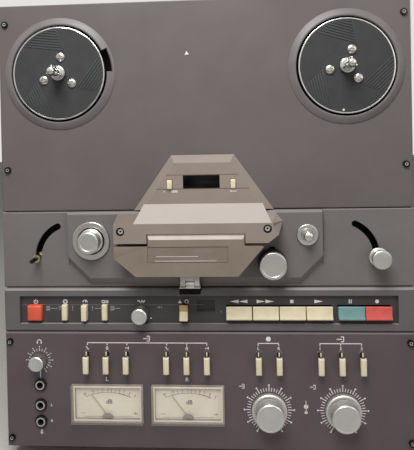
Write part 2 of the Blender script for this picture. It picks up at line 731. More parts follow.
def knurled_knob(radius: float, tip: float, low: float, high: float, flutes: int, depth: float = 0.22) -> BMesh:
    """Makes a knob with a straight knurled skirt, a plain chamfer and a dished top.

    Args:
        radius: Radius of the skirt at its foot.
        tip: Radius of the skirt under the chamfer.
        low: Height of the foot.
        high: Height of the top.
        flutes: Number of flutes.
        depth: Depth of a flute.

    Returns:
        The knob on the local z axis.
    """
    mesh = bmesh.new()
    ring = bmesh.ops.create_circle(mesh, cap_ends=False, segments=2 * flutes, radius=radius)["verts"]
    bmesh.ops.scale(mesh, vec=(1 - depth / radius, 1 - depth / radius, 1), verts=ring[::2])
    bmesh.ops.translate(mesh, vec=(0, 0, low), verts=ring)
    foot = mesh.edges[:]
    bmesh.ops.edgeloop_fill(mesh, edges=foot)
    loop = foot
    # Skirt, plain band and chamfer: how far each rises and what its radius is multiplied by
    for rise, grow in ((high - 1.0 - low, tip / radius), (0.25, 1.0), (0.75, 1 - 0.9 / tip)):
        step = bmesh.ops.extrude_edge_only(mesh, edges=loop)["geom"]
        loop = [e for e in step if isinstance(e, BMEdge)]
        verts = [v for v in step if isinstance(v, BMVert)]
        bmesh.ops.translate(mesh, vec=(0, 0, rise), verts=verts)
        bmesh.ops.scale(mesh, vec=(grow, grow, 1), verts=verts)
        if rise < 1:
            for vert in verts:
                # The chamfer above the knurling is round
                vert.co.xy = vert.co.xy.normalized() * max(v.co.xy.length for v in verts)
    top = bmesh.ops.edgeloop_fill(mesh, edges=loop)["faces"]
    bmesh.ops.inset_region(mesh, faces=top, thickness=0.9, depth=0.0, use_even_offset=True)
    bmesh.ops.inset_region(mesh, faces=top, thickness=0.35, depth=-0.18, use_even_offset=True)
    bmesh.ops.recalc_face_normals(mesh, faces=mesh.faces)
    return mesh


def loose_parts(mesh: BMesh) -> list[list[BMVert]]:
    """Finds the separate shells of a mesh.

    Args:
        mesh: Joined mesh.

    Returns:
        The vertices of each shell.
    """
    left, parts = set(mesh.verts), []
    while left:
        wave = [left.pop()]
        part = list(wave)
        while wave:
            near = {e.other_vert(v) for v in wave for e in v.link_edges} & left
            left -= near
            wave = list(near)
            part += wave
        parts.append(part)
    return parts


def cad_copy(node: str, pick: Test | None = None, soft: float = 0.0, least: float = 0.0,
             trim: Callable[[float, float, float], Spot] | None = None) -> BMesh:
    """Copies a CAD node, joins its triangles, keeps some of its shells and softens its outer edges.

    Args:
        node: Name of the node.
        pick: Test of a shell's lowest and highest corner, or None for all.
        soft: Width of the edge bevel, 0 for none.
        least: Length from which an edge is softened.
        trim: Gives a corner's new X, height over the reel panel and Z from its old ones.

    Returns:
        The copy in millimetres.
    """
    mesh = bmesh.new()
    mesh.from_mesh(frame["nodes"][node].data)
    bmesh.ops.scale(mesh, vec=(1 / MM,) * 3, verts=mesh.verts)
    bmesh.ops.remove_doubles(mesh, verts=mesh.verts, dist=SAME_CORNER)
    if pick is not None:
        for part in loose_parts(mesh):
            if not pick(*extent(part)):
                bmesh.ops.delete(mesh, geom=part, context="VERTS")
    if trim is not None:
        for vert in mesh.verts:
            x, out, z = trim(vert.co.x, FACE_Y - vert.co.y, vert.co.z)
            vert.co = (x, FACE_Y - out, z)
    if soft:
        bmesh.ops.dissolve_limit(mesh, angle_limit=SAME_FACE, verts=mesh.verts, edges=mesh.edges)
        edges = [e for e in mesh.edges if e.is_manifold and e.calc_length() > least
                 and e.calc_face_angle_signed(0.0) > ROUND_FROM]
        soften(mesh, edges, soft)
    return mesh


def make_piece(name: str, mesh: BMesh, finish: Finish, body: str, stands_for: Sequence[str] = ()) -> Piece:
    """Turns a mesh in millimetres into a finished piece that rides on a body.

    Args:
        name: Name of the piece.
        mesh: Its shape, which is freed.
        finish: Its finish.
        body: CAD body that it moves with.
        stands_for: CAD nodes that it replaces.

    Returns:
        The piece.
    """
    bmesh.ops.scale(mesh, vec=(MM,) * 3, verts=mesh.verts)
    shape = bpy.data.meshes.new(name)
    mesh.to_mesh(shape)
    mesh.free()
    stale = shape.attributes.get("custom_normal")
    if stale is not None:
        shape.attributes.remove(stale)
    shape.materials.clear()
    shape.materials.append(finish.material())
    for polygon in shape.polygons:
        polygon.material_index = 0
    shape.shade_smooth()
    shape.set_sharp_from_angle(angle=SHARP_FROM)
    # A large flat face keeps its own normal, so that its rounded edges don't tint it
    for polygon in shape.polygons:
        polygon.use_smooth = polygon.area < FLAT_AREA
    piece = bpy.data.objects.new(name, shape)
    bpy.context.scene.collection.objects.link(piece)
    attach(piece, body)
    if stands_for:
        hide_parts(*stands_for)
    return piece


def refinish(piece: Piece, finish: Finish, test: Test) -> Piece:
    """Gives some faces of a piece another finish.

    Args:
        piece: The piece.
        finish: Finish of those faces.
        test: Test of a face's middle in millimetres and of its normal.

    Returns:
        The piece.
    """
    piece.data.materials.append(finish.material())
    for face in piece.data.polygons:
        if test(face.center / MM, face.normal):
            face.material_index = len(piece.data.materials) - 1
    return piece


def dress_node(node: str, finish: Finish) -> Piece:
    """Gives a CAD node a finish and leaves its shape alone.

    Args:
        node: Name of the node.
        finish: Its finish.

    Returns:
        The node's object.
    """
    piece = frame["nodes"][node]
    for slot in piece.material_slots:
        slot.material = finish.material()
    return piece


@dataclass
class ScreenPrint:
    """Marks printed on one flat face, gathered in one thin mesh.

    Attributes:
        out: Height of the face over the reel panel.
        thickness: Thickness of the ink.
        mesh: The marks so far.
    """

    out: float
    thickness: float = 0.05
    mesh: BMesh = field(default_factory=bmesh.new)

    def line(self, a: Point, b: Point, width: float) -> None:
        """Prints a straight line.

        Args:
            a: First end, X and Z.
            b: Other end.
            width: Width of the line.
        """
        run = Vector(b) - Vector(a)
        mid = (Vector(a) + Vector(b)) / 2
        place = on_face(mid.x, mid.y, self.out + self.thickness / 2, math.degrees(math.atan2(run.y, run.x)))
        bmesh.ops.create_cube(self.mesh, size=1.0,
                              matrix=place @ Matrix.Diagonal((run.length, width, self.thickness, 1.0)))

    def path(self, points: Sequence[Point], width: float) -> None:
        """Prints a broken line through some corners."""
        for a, b in pairwise(points):
            self.line(a, b, width)

    def disc(self, x: float, z: float, radius: float, corners: int = 20, turn: float = 0.0) -> None:
        """Prints a disc, or a small polygon whose first corner points up.

        Args:
            x: X of the middle.
            z: Z of the middle.
            radius: Radius to the corners.
            corners: Number of corners.
            turn: Turn in degrees.
        """
        bmesh.ops.create_cone(self.mesh, cap_ends=True, segments=corners, radius1=radius, radius2=radius,
                              depth=self.thickness,
                              matrix=on_face(x, z, self.out + self.thickness / 2, turn))

    def wedge(self, x: float, z: float, length: float, height: float, way: Side) -> None:
        """Prints a long triangle that points to one side.

        Args:
            x: X of its middle.
            z: Z of its middle.
            length: Its length along X.
            height: Its height.
            way: Side that it points to.
        """
        # A triangle of radius 1 is 1.5 long and 1.732 high, and its middle lies a sixth from its centre
        place = on_face(x - way.value * length / 6, z, self.out + self.thickness / 2)
        bmesh.ops.create_cone(self.mesh, cap_ends=True, segments=3, radius1=1.0, radius2=1.0, depth=1.0,
                              matrix=place @ Matrix.Diagonal((length / 1.5, height / 1.732, self.thickness, 1.0))
                              @ Matrix.Rotation(-way.value * math.pi / 2, 4, "Z"))

    def arc(self, x: float, z: float, radius: float, start: float, end: float, width: float) -> None:
        """Prints an arc.

        Args:
            x: X of its centre.
            z: Z of its centre.
            radius: Middle radius.
            start: First angle in degrees from X.
            end: Last angle.
            width: Width of the line.
        """
        strip = bmesh.new()
        ends = [strip.verts.new((radius + s * width / 2, 0.0, 0.0)) for s in (-1, 1)]
        edge = strip.edges.new(ends)
        bmesh.ops.spin(strip, geom=[*ends, edge], cent=(0, 0, 0), axis=(0, 0, 1), angle=math.radians(end - start),
                       steps=max(4, int(abs(end - start) / 9)), use_merge=abs(end - start) >= 360)
        raised = bmesh.ops.extrude_face_region(strip, geom=strip.faces[:])["geom"]
        bmesh.ops.translate(strip, vec=(0, 0, self.thickness), verts=[v for v in raised if isinstance(v, BMVert)])
        bmesh.ops.recalc_face_normals(strip, faces=strip.faces)
        join(self.mesh, strip, on_face(x, z, self.out, start))

    def words(self, x: float, z: float, text: str, height: float, turn: float = 0.0) -> None:
        """Prints figures or letters.

        Args:
            x: X of the middle.
            z: Z of the middle.
            text: What is printed.
            height: Height of a capital.
            turn: Turn in degrees.
        """
        curve = bpy.data.curves.new("figures", "FONT")
        curve.body = text
        curve.size = height / CAPITAL
        curve.align_x, curve.align_y = "CENTER", "CENTER"
        curve.extrude = self.thickness / 2
        curve.offset = STROKE * height
        curve.resolution_u = 3
        holder = bpy.data.objects.new("figures", curve)
        bpy.context.scene.collection.objects.link(holder)
        shape = bpy.data.meshes.new_from_object(holder.evaluated_get(bpy.context.evaluated_depsgraph_get()))
        shape.transform(on_face(x, z, self.out + self.thickness / 2, turn))
        self.mesh.from_mesh(shape)
        bpy.data.meshes.remove(shape)
        bpy.data.objects.remove(holder)
        bpy.data.curves.remove(curve)

    def symbol(self, kind: Symbol, x: float, z: float, s: float, width: float) -> None:
        """Prints a pictogram.

        Args:
            kind: Which one.
            x: X of its middle.
            z: Z of its middle.
            s: Half of its height.
            width: Width of its lines.
        """
        def at(*points: Point) -> list[Point]:
            """Gives the places of points that are given in the pictogram's own size."""
            return [(x + s * px, z + s * pz) for px, pz in points]

        if kind in (Symbol.REWIND, Symbol.FORWARD, Symbol.PLAY):
            way = Side.LEFT if kind is Symbol.REWIND else Side.RIGHT
            for shift in ((0.0,) if kind is Symbol.PLAY else (-2.3, 2.3)):
                self.wedge(x + shift * s, z, 4.4 * s, 1.9 * s, way)
        elif kind is Symbol.STOP:
            self.disc(x, z, 1.2 * s, 4, 45)
        elif kind is Symbol.PAUSE:
            for shift in (-0.5, 0.5):
                self.line((x + shift * s, z - s), (x + shift * s, z + s), 0.55 * s)
        elif kind is Symbol.RECORD:
            self.disc(x, z, s)
        elif kind is Symbol.POWER:
            self.arc(x, z, 0.85 * s, 125, 415, width)
            self.line(*at((0, 0.1), (0, 1.15)), width)
        elif kind is Symbol.REEL:
            self.arc(x, z, 0.9 * s, 0, 360, width)
            for turn in (90, 210, 330):
                hole = heading(turn) * 0.42 * s
                self.disc(x + hole.x, z + hole.y, 0.2 * s, 8)
        elif kind is Symbol.SPEED:
            self.arc(x, z - 0.3 * s, s, 0, 180, width)
            self.line(*at((0, -0.3), (0.55, 0.4)), width)
        elif kind is Symbol.SPLICE:
            self.path(at((-1.3, 0.5), (-0.2, 0.5), (0.2, -0.5), (-1.3, -0.5), (-1.3, 0.5)), width)
            self.path(at((0.4, 0.5), (1.4, 0.5), (1.4, -0.5), (0.8, -0.5), (0.4, 0.5)), width)
        elif kind is Symbol.PITCH:
            self.path(at((-1.8, 0), (-1.35, 0.7), (-0.9, 0), (-0.45, -0.7), (0, 0), (0.3, 0.7), (0.6, 0),
                         (0.9, -0.7), (1.2, 0), (1.4, 0.7), (1.6, 0)), width)
        elif kind is Symbol.CUE:
            self.disc(x, z - 0.2 * s, s, 3)
        elif kind is Symbol.MICROPHONE:
            self.line(*at((0, 0), (0, 1)), 0.75 * s)
            self.arc(x, z + 0.15 * s, 0.75 * s, 195, 345, width)
            self.path(at((0, -0.6), (0, -1)), width)
            self.line(*at((-0.5, -1), (0.5, -1)), width)
        elif kind is Symbol.PLUG:
            self.line(*at((-1.1, 0), (0.3, 0)), width)
            self.disc(x + 0.25 * s, z, 0.6 * s, 3, -90)
            self.line(*at((0.9, -0.8), (0.9, 0.8)), width)
        elif kind is Symbol.PAD:
            self.path(at((-1, 0.6), (-0.2, 0.6), (-0.2, -0.6), (1, -0.6)), width)
        elif kind in (Symbol.ARROW_IN, Symbol.ARROW_OUT):
            way = 1 if kind is Symbol.ARROW_IN else -1
            self.path(at((0.1, 1), (1.2, 1), (1.2, -1), (0.1, -1)), width)
            self.line(*at((-1.4, 0), (0.5, 0)), width)
            self.disc(x + (0.35 if way > 0 else -1.2) * s, z, 0.55 * s, 3, -90 * way)
        elif kind is Symbol.PHONES:
            self.arc(x, z - 0.1 * s, 0.95 * s, 0, 180, width)
            for shift in (-0.9, 0.9):
                self.line((x + shift * s, z - 0.95 * s), (x + shift * s, z), 0.5 * s)
        elif kind is Symbol.HEAD:
            self.arc(x, z, 0.85 * s, 290, 610, width)
        elif kind is Symbol.BALANCE:
            self.line(*at((0, -1), (0, 1)), 0.7 * width)
            self.disc(x, z + 0.1 * s, 0.34 * s)
            self.disc(x, z - 0.8 * s, 0.24 * s)
        elif kind is Symbol.RETURN:
            self.path(at((-1.6, 0), (0.1, 0)), width)
            self.disc(x - 1.4 * s, z, 0.6 * s, 3, 90)

    def piece(self, name: str, ink: Finish, body: str) -> Piece:
        """Makes the printed piece on the body that carries the face."""
        return make_piece(name, self.mesh, ink, body)


# Sub-assemblies


@dataclass
class Cabinet:
    """The case with its feet, rear connections and what sits inside it."""

    foot_x: float = 173.0
    foot_y: Point = (-66.5, 82.5)
    foot_height: float = 14.94
    bumper_z: Point = (39.0, 435.0)
    phono_x: tuple[float, ...] = (-120.0, -96.0, -62.0, -38.0)
    pair_x: Point = (-108.0, -50.0)
    inlet_x: float = 130.0
    rear_z: float = 60.0
    pin_pitch: float = 6.5
    # A socket is a jack of the front down to this depth, and the mains inlet from this width
    jack_depth: float = 30.0
    inlet_width: float = 20.0
    # Widths that part potentiometers, display, transformer and boards
    inside_widths: Spot = (25.0, 80.0, 120.0)
    # Rows of the screws: Y and Z on the sides, X and Z on the back, and round the inlet
    side_screws: tuple[Point, Point] = ((-60.0, 76.0), (60.0, 410.0))
    back_screws: tuple[Spot, Point] = ((-190.0, 0.0, 190.0), (28.0, 446.0))
    inlet_screws: Point = (26.0, 28.0)
    # Height from which a panel screw is in the head cover, and the worn edge's radius in both kinds
    cover_out: float = 20.0
    socket_wide: Point = (1.75, 2.6)

    def build(self) -> list[Piece]:
        """Builds the cabinet and gives its pieces."""
        return [*self.shell(), *self.feet(), *self.connections(), *self.inside(), self.case_screws()]

    def shell(self) -> list[Piece]:
        """Dresses the case and the chassis."""
        return [dress_node("case_tub", CASE_WRINKLE), dress_node("chassis_frame", DARK_STEEL),
                dress_node("drive_motors", IRON), dress_node("panel_screws", BLACK_OXIDE), self.screw_sockets()]

    def screw_sockets(self) -> Piece:
        """Builds the worn hexagon edges in the heads of the panel screws.

        Returns:
            The piece.
        """
        rims = bmesh.new()
        for low, high in self.heads():
            middle, top = (low + high) / 2, FACE_Y - low.y
            # The two in the head cover are worn bright all over
            rim = self.socket_wide[top > self.cover_out]
            join(rims, lathe([(1.05, 0.0), (rim, 0.0), (rim, 0.12), (1.3, 0.16), (1.05, 0.0)], 6),
                 on_face(middle.x, middle.z, top, 15))
        return make_piece("panel_screw_sockets", rims, SATIN_NICKEL, "deck")

    def heads(self) -> list[tuple[Vector, Vector]]:
        """Finds the panel screws in the CAD.

        Returns:
            Lowest and highest corner of each, from left to right.
        """
        mesh = cad_copy("panel_screws")
        boxes = sorted((extent(part) for part in loose_parts(mesh)), key=lambda box: tuple(box[0]))
        mesh.free()
        return boxes

    def feet(self) -> list[Piece]:
        """Builds the standing feet and the bumpers on the back.

        Returns:
            The pieces.
        """
        h = self.foot_height
        standing, bumpers = bmesh.new(), bmesh.new()
        for x in (-self.foot_x, self.foot_x):
            for y in self.foot_y:
                profile = [(0, 1.6), (3.4, 1.6), (3.9, 1.2), (3.9, 0.2), (4.2, 0), (9.6, 0), (10.3, 0.3), (10.6, 1.2),
                           (11.0, 5.4), (10.7, 5.8), (10.7, 6.6), (11.1, 7.0), (11.9, h - 0.6), (11.6, h), (0, h)]
                join(standing, lathe(profile), Matrix.Translation((x, y, 0)))
            for z in self.bumper_z:
                profile = [(0, 0.06), (8.9, 0.06), (9.0, 0.5), (8.2, 10.8), (7.4, 11.9), (4.2, 11.9), (3.8, 11.4),
                           (3.8, 9.6), (0, 9.6)]
                join(bumpers, lathe(profile), on_rear(x, z))
        return [make_piece("standing_feet", standing, FOOT_RUBBER, "deck", ("feet",)),
                make_piece("rear_bumpers", bumpers, FOOT_RUBBER, "deck", ("feet",))]

    def connections(self) -> list[Piece]:
        """Builds the jacks, phono sockets and mains inlet with its pins.

        Returns:
            The pieces.
        """
        front = FACE_Y + self.jack_depth
        jacks = cad_copy("sockets", lambda low, high: high.y < front, 0.25)
        phono = cad_copy("sockets", lambda low, high: low.y > front and high.x - low.x < self.inlet_width, 0.25)
        inlet = cad_copy("sockets", wide(self.inlet_width), 0.3)
        rings, pins, marks = bmesh.new(), bmesh.new(), bmesh.new()
        for x in self.phono_x:
            join(rings, lathe([(1.7, 9.52), (3.5, 9.52), (3.6, 9.75), (1.7, 9.75), (1.7, 9.52)], 32),
                 on_rear(x, self.rear_z))
        for shift in (-self.pin_pitch, 0.0, self.pin_pitch):
            add_block(pins, (2.1, 4.1, 6.0), on_rear(self.inlet_x + shift, self.rear_z, -12.8), 0.3)
        for mid in self.pair_x:
            for shift in (-12.0, 12.0):
                add_block(marks, (3.0, 0.6, 0.06), on_rear(mid + shift, 73.0, 0.03))
            add_block(marks, (27.0, 0.5, 0.06), on_rear(mid, 76.0, 0.03))
        bushes = make_piece("front_jacks", jacks, NICKEL, "deck", ("sockets",))
        # The nuts on the panel are dark, and the jacks behind it are black
        refinish(bushes, BLACK_OXIDE, lambda spot, way: 3.9 < FACE_Y - spot.y < 6.2)
        refinish(bushes, BLACK_ABS, lambda spot, way: FACE_Y - spot.y < 3 and way.y > -0.9)
        return [bushes,
                make_piece("phono_sockets", phono, NICKEL, "deck", ("sockets",)),
                refinish(make_piece("mains_inlet_body", inlet, BLACK_ABS, "deck", ("sockets",)), ZINC,
                         lambda spot, way: spot.y > on_rear(0.0, 0.0, 0.5).translation.y),
                make_piece("phono_insulators", rings, RED_ABS, "deck"),
                make_piece("mains_inlet_pins", pins, NICKEL, "deck"),
                make_piece("rear_print", marks, WHITE_INK, "deck")]

    def inside(self) -> list[Piece]:
        """Builds the boards, transformer, potentiometers and counter display.

        Returns:
            The pieces.
        """
        pot, display, core = self.inside_widths
        sorts = (("circuit_boards", wide(core), BOARD, 0.0), ("transformer_core", wide(display, core), IRON, 1.0),
                 ("potentiometers", wide(0, pot), ZINC, 0.3), ("counter_display", wide(pot, display), BLACK_ABS, 0.3))
        return [make_piece(name, cad_copy("electronics", pick, soft), finish, "deck", ("electronics",)) for name, pick, finish, soft in sorts]

    def case_screws(self) -> Piece:
        """Builds the dome screws that hold the case, on its sides and its back.

        Returns:
            The piece.
        """
        screws = bmesh.new()
        low, high = (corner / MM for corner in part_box("case_tub"))
        places = [Matrix.Translation((side, y, z)) @ Matrix.Rotation(math.copysign(math.pi / 2, side), 4, "Y")
                  for side in (low.x, high.x) for y in self.side_screws[0] for z in self.side_screws[1]]
        places += [on_rear(x, z) for x in self.back_screws[0] for z in self.back_screws[1]]
        across, up = self.inlet_screws
        places += [on_rear(self.inlet_x + dx, self.rear_z + dz, 2.06) for dx in (-across, across) for dz in (-up, up)]
        for place in places:
            dome = lathe([(0, 1.7), (1.6, 1.55), (2.9, 1.0), (3.5, 0.3), (3.5, 0.02), (0, 0.02)], 28)
            for turn in (0, math.pi / 2):
                slot = bmesh.new()
                bmesh.ops.create_cube(slot, size=1.0, matrix=Matrix.Rotation(turn, 4, "Z")
                                      @ Matrix.Translation((0, 0, 1.5)) @ Matrix.Diagonal((3.2, 0.7, 0.5, 1)))
                join(dome, slot)
            join(screws, dome, place)
        return make_piece("case_screws", screws, BLACK_OXIDE, "deck")


@dataclass
class FrontPanels:
    """The four front panels with their rounded edges and wear."""

    chip_at: Point = (-13.6, 407.9)
    edge: float = 0.6
    least_edge: float = 25.0
    # X and lower end of the shadow gaps beside the platform
    gap_at: tuple[Point, Point] = ((-137.1, 214.0), (117.1, 211.0))
    gap_top: float = 250.6

    def build(self) -> list[Piece]:
        """Dresses the panels.

        Returns:
            Their pieces.
        """
        sheets = (("reel_panel", REEL_ENAMEL, "panel_paint"), ("transport_panel", DECK_ENAMEL, "panel_paint"),
                  ("control_strip", STRIP_ENAMEL, "strip_plastic"), ("amp_panel", AMP_ENAMEL, "amp_paint"))
        return [*(make_piece(f"{node}_sheet", cad_copy(node, None, self.edge, self.least_edge), finish, "deck", (node,)) for node, finish, slot in sheets),
                self.paint_chip(), self.seams()]

    def seams(self) -> Piece:
        """Builds the dark shadow gaps along both ends of the raised platform.

        Returns:
            The piece.
        """
        gaps = ScreenPrint(0.0, 0.05)
        for x, low in self.gap_at:
            gaps.line((x, low), (x, self.gap_top), 0.9)
        return gaps.piece("platform_seams", BLACK_INK, "deck")

    def paint_chip(self) -> Piece:
        """Builds the one large chip of missing paint above the counter.

        Returns:
            The piece.
        """
        x, z = self.chip_at
        chip = ScreenPrint(0.0, 0.03)
        chip.disc(x, z, 2.4, 3, 8)
        return chip.piece("reel_panel_chip", PRIMER, "deck")


@dataclass
class ReelStation:
    """A reel table with its mat, screws and spindle."""

    side: Side
    # Axis of the right table, which the left one mirrors
    x: float = 142.3
    z: float = 391.0
    # Angle of the first table screw, left and right
    screw_turn: tuple[float, float] = (83.0, 72.0)
    mat_top: float = 3.0
    mat_radius: float = 44.5
    # Distance from the axis where a field of ribs begins
    apex: float = 24.0
    rib_pitch: float = 2.6
    # Width and height of a rib and of a seam
    rib: Point = (1.2, 0.42)
    seam: Point = (0.45, 0.12)
    # Most ribs that a field can have
    field_ribs: int = 12

    @property
    def axis_x(self) -> float:
        """X of this table's axis."""
        return self.side.value * self.x

    def build(self) -> list[Piece]:
        """Builds the station.

        Returns:
            Its pieces.
        """
        word, node = self.side.word, f"{self.side.word}_reel_table"
        alloy = TurnedAluminium(f"turned_aluminium_{word}_table", "#d9d8d4", 0.26, x=self.axis_x, z=self.z)
        sorts = (("table", wide(92), alloy, 0.2), ("mat", wide(80, 92), MAT_RUBBER, 0.0),
                 ("table_screws", wide(0, 12), NICKEL, 0.15), ("spindle", wide(12, 80), alloy, 0.2))
        pieces = [make_piece(f"{word}_{name}", cad_copy(node, pick, soft), finish, node, (node,))
                  for name, pick, finish, soft in sorts]
        lock = f"{word}_spindle_lock"
        tip = cad_copy(lock, None, 0.2)
        pieces.append(make_piece(f"{word}_spindle_tip", tip, alloy, lock, (lock,)))
        pieces += [self.ribs(), self.trim_ring()]
        if self.side is Side.RIGHT:
            pieces.append(self.dot())
        return pieces

    def trim_ring(self) -> Piece:
        """Builds the coned trim ring; a piece of the left one is broken out down to its outer lip.

        Returns:
            The piece.
        """
        cone = [(48.7, 0.1), (48.7, 2.7), (49.1, 3.2), (49.8, 3.3), (50.6, 3.1), (55.7, 1.0), (56.3, 0.5), (56.3, 0.1),
                (48.7, 0.1)]
        lip = [(54.6, 0.1), (54.6, 1.2), (55.6, 0.9), (56.25, 0.45), (56.25, 0.1), (54.6, 0.1)]
        if self.side is Side.LEFT:
            ring = lathe(cone, 90, 27.0, 334.0)
            join(ring, lathe(lip, 10, 0.0, 28.0))
        else:
            ring = lathe(cone, 96)
        moved(ring, on_face(self.axis_x, self.z))
        return make_piece(f"{self.side.word}_trim_ring", ring, RING_ABS, "deck", ("reel_rings",))

    def reach(self, start: Vector, way: Vector) -> float:
        """Finds how far a line runs inside the mat.

        Args:
            start: Point on the mat, from the axis.
            way: Unit direction.

        Returns:
            Distance to the mat's edge.
        """
        along = start.dot(way)
        inside = along * along - start.length_squared + self.mat_radius ** 2
        return math.sqrt(inside) - along if inside > 0 else 0.0

    def bar(self, mesh: BMesh, start: Vector, way: Vector, section: Point) -> None:
        """Adds a bar that runs over the mat to its edge.

        Args:
            mesh: Mesh that gets the bar.
            start: Where it begins, from the axis.
            way: Its unit direction.
            section: Its width and height.
        """
        length = self.reach(start, way)
        mid = start + way * length / 2
        place = on_face(self.axis_x + mid.x, self.z + mid.y, self.mat_top + section[1] / 2,
                        math.degrees(math.atan2(way.y, way.x)))
        add_block(mesh, (length, *section), place, 0.12)

    def ribs(self) -> Piece:
        """Builds the three ribbed fields and the fine seams of the rubber mat.

        Returns:
            The piece.
        """
        first = self.screw_turn[0 if self.side is Side.LEFT else 1]
        step = self.rib_pitch / math.sin(math.radians(60))
        mesh = bmesh.new()
        for screw in (first, first + 120, first + 240):
            # A field begins beside its screw, and its ribs run square to the screw's radius from a slanted edge
            corner, along, edge = heading(screw - 5) * self.apex, heading(screw + 90.5), heading(screw + 30.5)
            for i in range(self.field_ribs):
                start = corner + edge * (i * step)
                if start.length < self.mat_radius - 1 and self.reach(start, along) > 2:
                    self.bar(mesh, start, along, self.rib)
            seam = heading(screw + 151)
            self.bar(mesh, heading(screw + 61) * 15.7 - seam * 17, seam, self.seam)
        return make_piece(f"{self.side.word}_mat_ribs", mesh, RIB_RUBBER, f"{self.side.word}_reel_table")

    def dot(self) -> Piece:
        """Builds the small pale mark near the edge of the right mat.

        Returns:
            The piece.
        """
        mark = lathe([(0, 0.1), (0.9, 0.1), (1.1, 0.0), (0, 0.0)], 16)
        moved(mark, on_face(self.axis_x - 3.7, self.z - 42.8, self.mat_top))
        return make_piece("right_mat_dot", mark, PRIMER, "right_reel_table")


@dataclass
class TapePath:
    """Arms, rollers, capstan, heads and guides along the tape."""

    impedance: Point = (-112.0, 223.5)
    guide: Point = (101.0, 227.9)
    roller: Point = (168.6, 205.6)
    pinch: Point = (66.5, 201.1)
    capstan: Point = (63.0, 230.1)
    # Limits that part the left arm from its post, the tyre from its cap, and the bright knuckle from its block
    post_out: float = 9.0
    cap_out: float = 20.0
    block_top: float = 195.0
    knuckle_low: float = 181.0

    def turned(self, name: str, spot: Point, colour: str = "#d6d5d1", rough: float = 0.3) -> TurnedAluminium:
        """Gives the finish of a piece turned about a place on the front."""
        return TurnedAluminium(f"turned_aluminium_{name}", colour, rough, x=spot[0], z=spot[1])

    def build(self) -> list[Piece]:
        """Builds the tape path and gives its pieces."""
        return [*self.arms(), *self.rollers(), *self.heads()]

    def arms(self) -> list[Piece]:
        """Builds the two tension arms and the pinch arm.

        Returns:
            The pieces.
        """
        left, right, pinch = (
            make_piece(f"{name}_plate", cad_copy(name, None, 0.2), finish, name, (name,))
            for name, finish in (("left_tension_arm", BRASS), ("right_tension_arm", STEEL), ("pinch_arm", STEEL)))
        # The left arm's roller is gone, and the bare post that held it has darkened
        refinish(left, BLACK_OXIDE, lambda spot, way: FACE_Y - spot.y > self.post_out)
        return [left, right, pinch]

    def rollers(self) -> list[Piece]:
        """Builds the rollers, the pinch roller's tyre and cap, and the capstan.

        Returns:
            The pieces.
        """
        pieces = []
        for node, spot in (("tension_roller", self.roller), ("impedance_roller", self.impedance),
                           ("capstan", self.capstan)):
            pieces.append(make_piece(f"{node}_turned", cad_copy(node, None, 0.25),
                                     self.turned(node, spot, rough=0.36), node, (node,)))
        tyre = cad_copy("pinch_roller", lambda low, high: FACE_Y - low.y < self.cap_out, 0.3)
        cap = cad_copy("pinch_roller", lambda low, high: FACE_Y - low.y > self.cap_out, 0.3)
        pieces += [make_piece("pinch_tyre", tyre, TYRE_RUBBER, "pinch_roller", ("pinch_roller",)),
                   make_piece("pinch_cap", cap, self.turned("pinch_cap", self.pinch), "pinch_roller",
                              ("pinch_roller",))]
        return pieces

    def heads(self) -> list[Piece]:
        """Builds the heads, guides, seats and the lid's hinge block from the CAD's shells.

        Returns:
            The pieces.
        """
        def near(spot: Point) -> Test:
            """Makes the test for shells whose middle is within 3 mm of a place on the front."""
            return lambda low, high: math.dist(((low.x + high.x) / 2, (low.z + high.z) / 2), spot) < 3

        node = "heads_and_guides"
        seat, post = near(self.impedance), near(self.guide)
        sorts = (("impedance_seat", seat, self.turned("impedance_seat", self.impedance, "#c9c8c4", 0.34), 0.2),
                 ("guide_post", post, self.turned("guide_post", self.guide), 0.2),
                 ("lid_hinge_block", lambda low, high: high.z < self.block_top, SATIN_NICKEL, 0.4),
                 ("head_cans", wide(12, 16), NICKEL, 0.3), ("tape_guides", wide(0, 9), STEEL, 0.15),
                 ("head_base_plate", wide(90), ZINC, 0.3))
        pieces = [make_piece(name, cad_copy(node, pick, soft), finish, "deck", (node,))
                  for name, pick, finish, soft in sorts]
        # Only the knuckle of the hinge block is bright
        refinish(pieces[2], DARK_STEEL, lambda spot, way: spot.z < self.knuckle_low and way.z < 0.5)
        return pieces


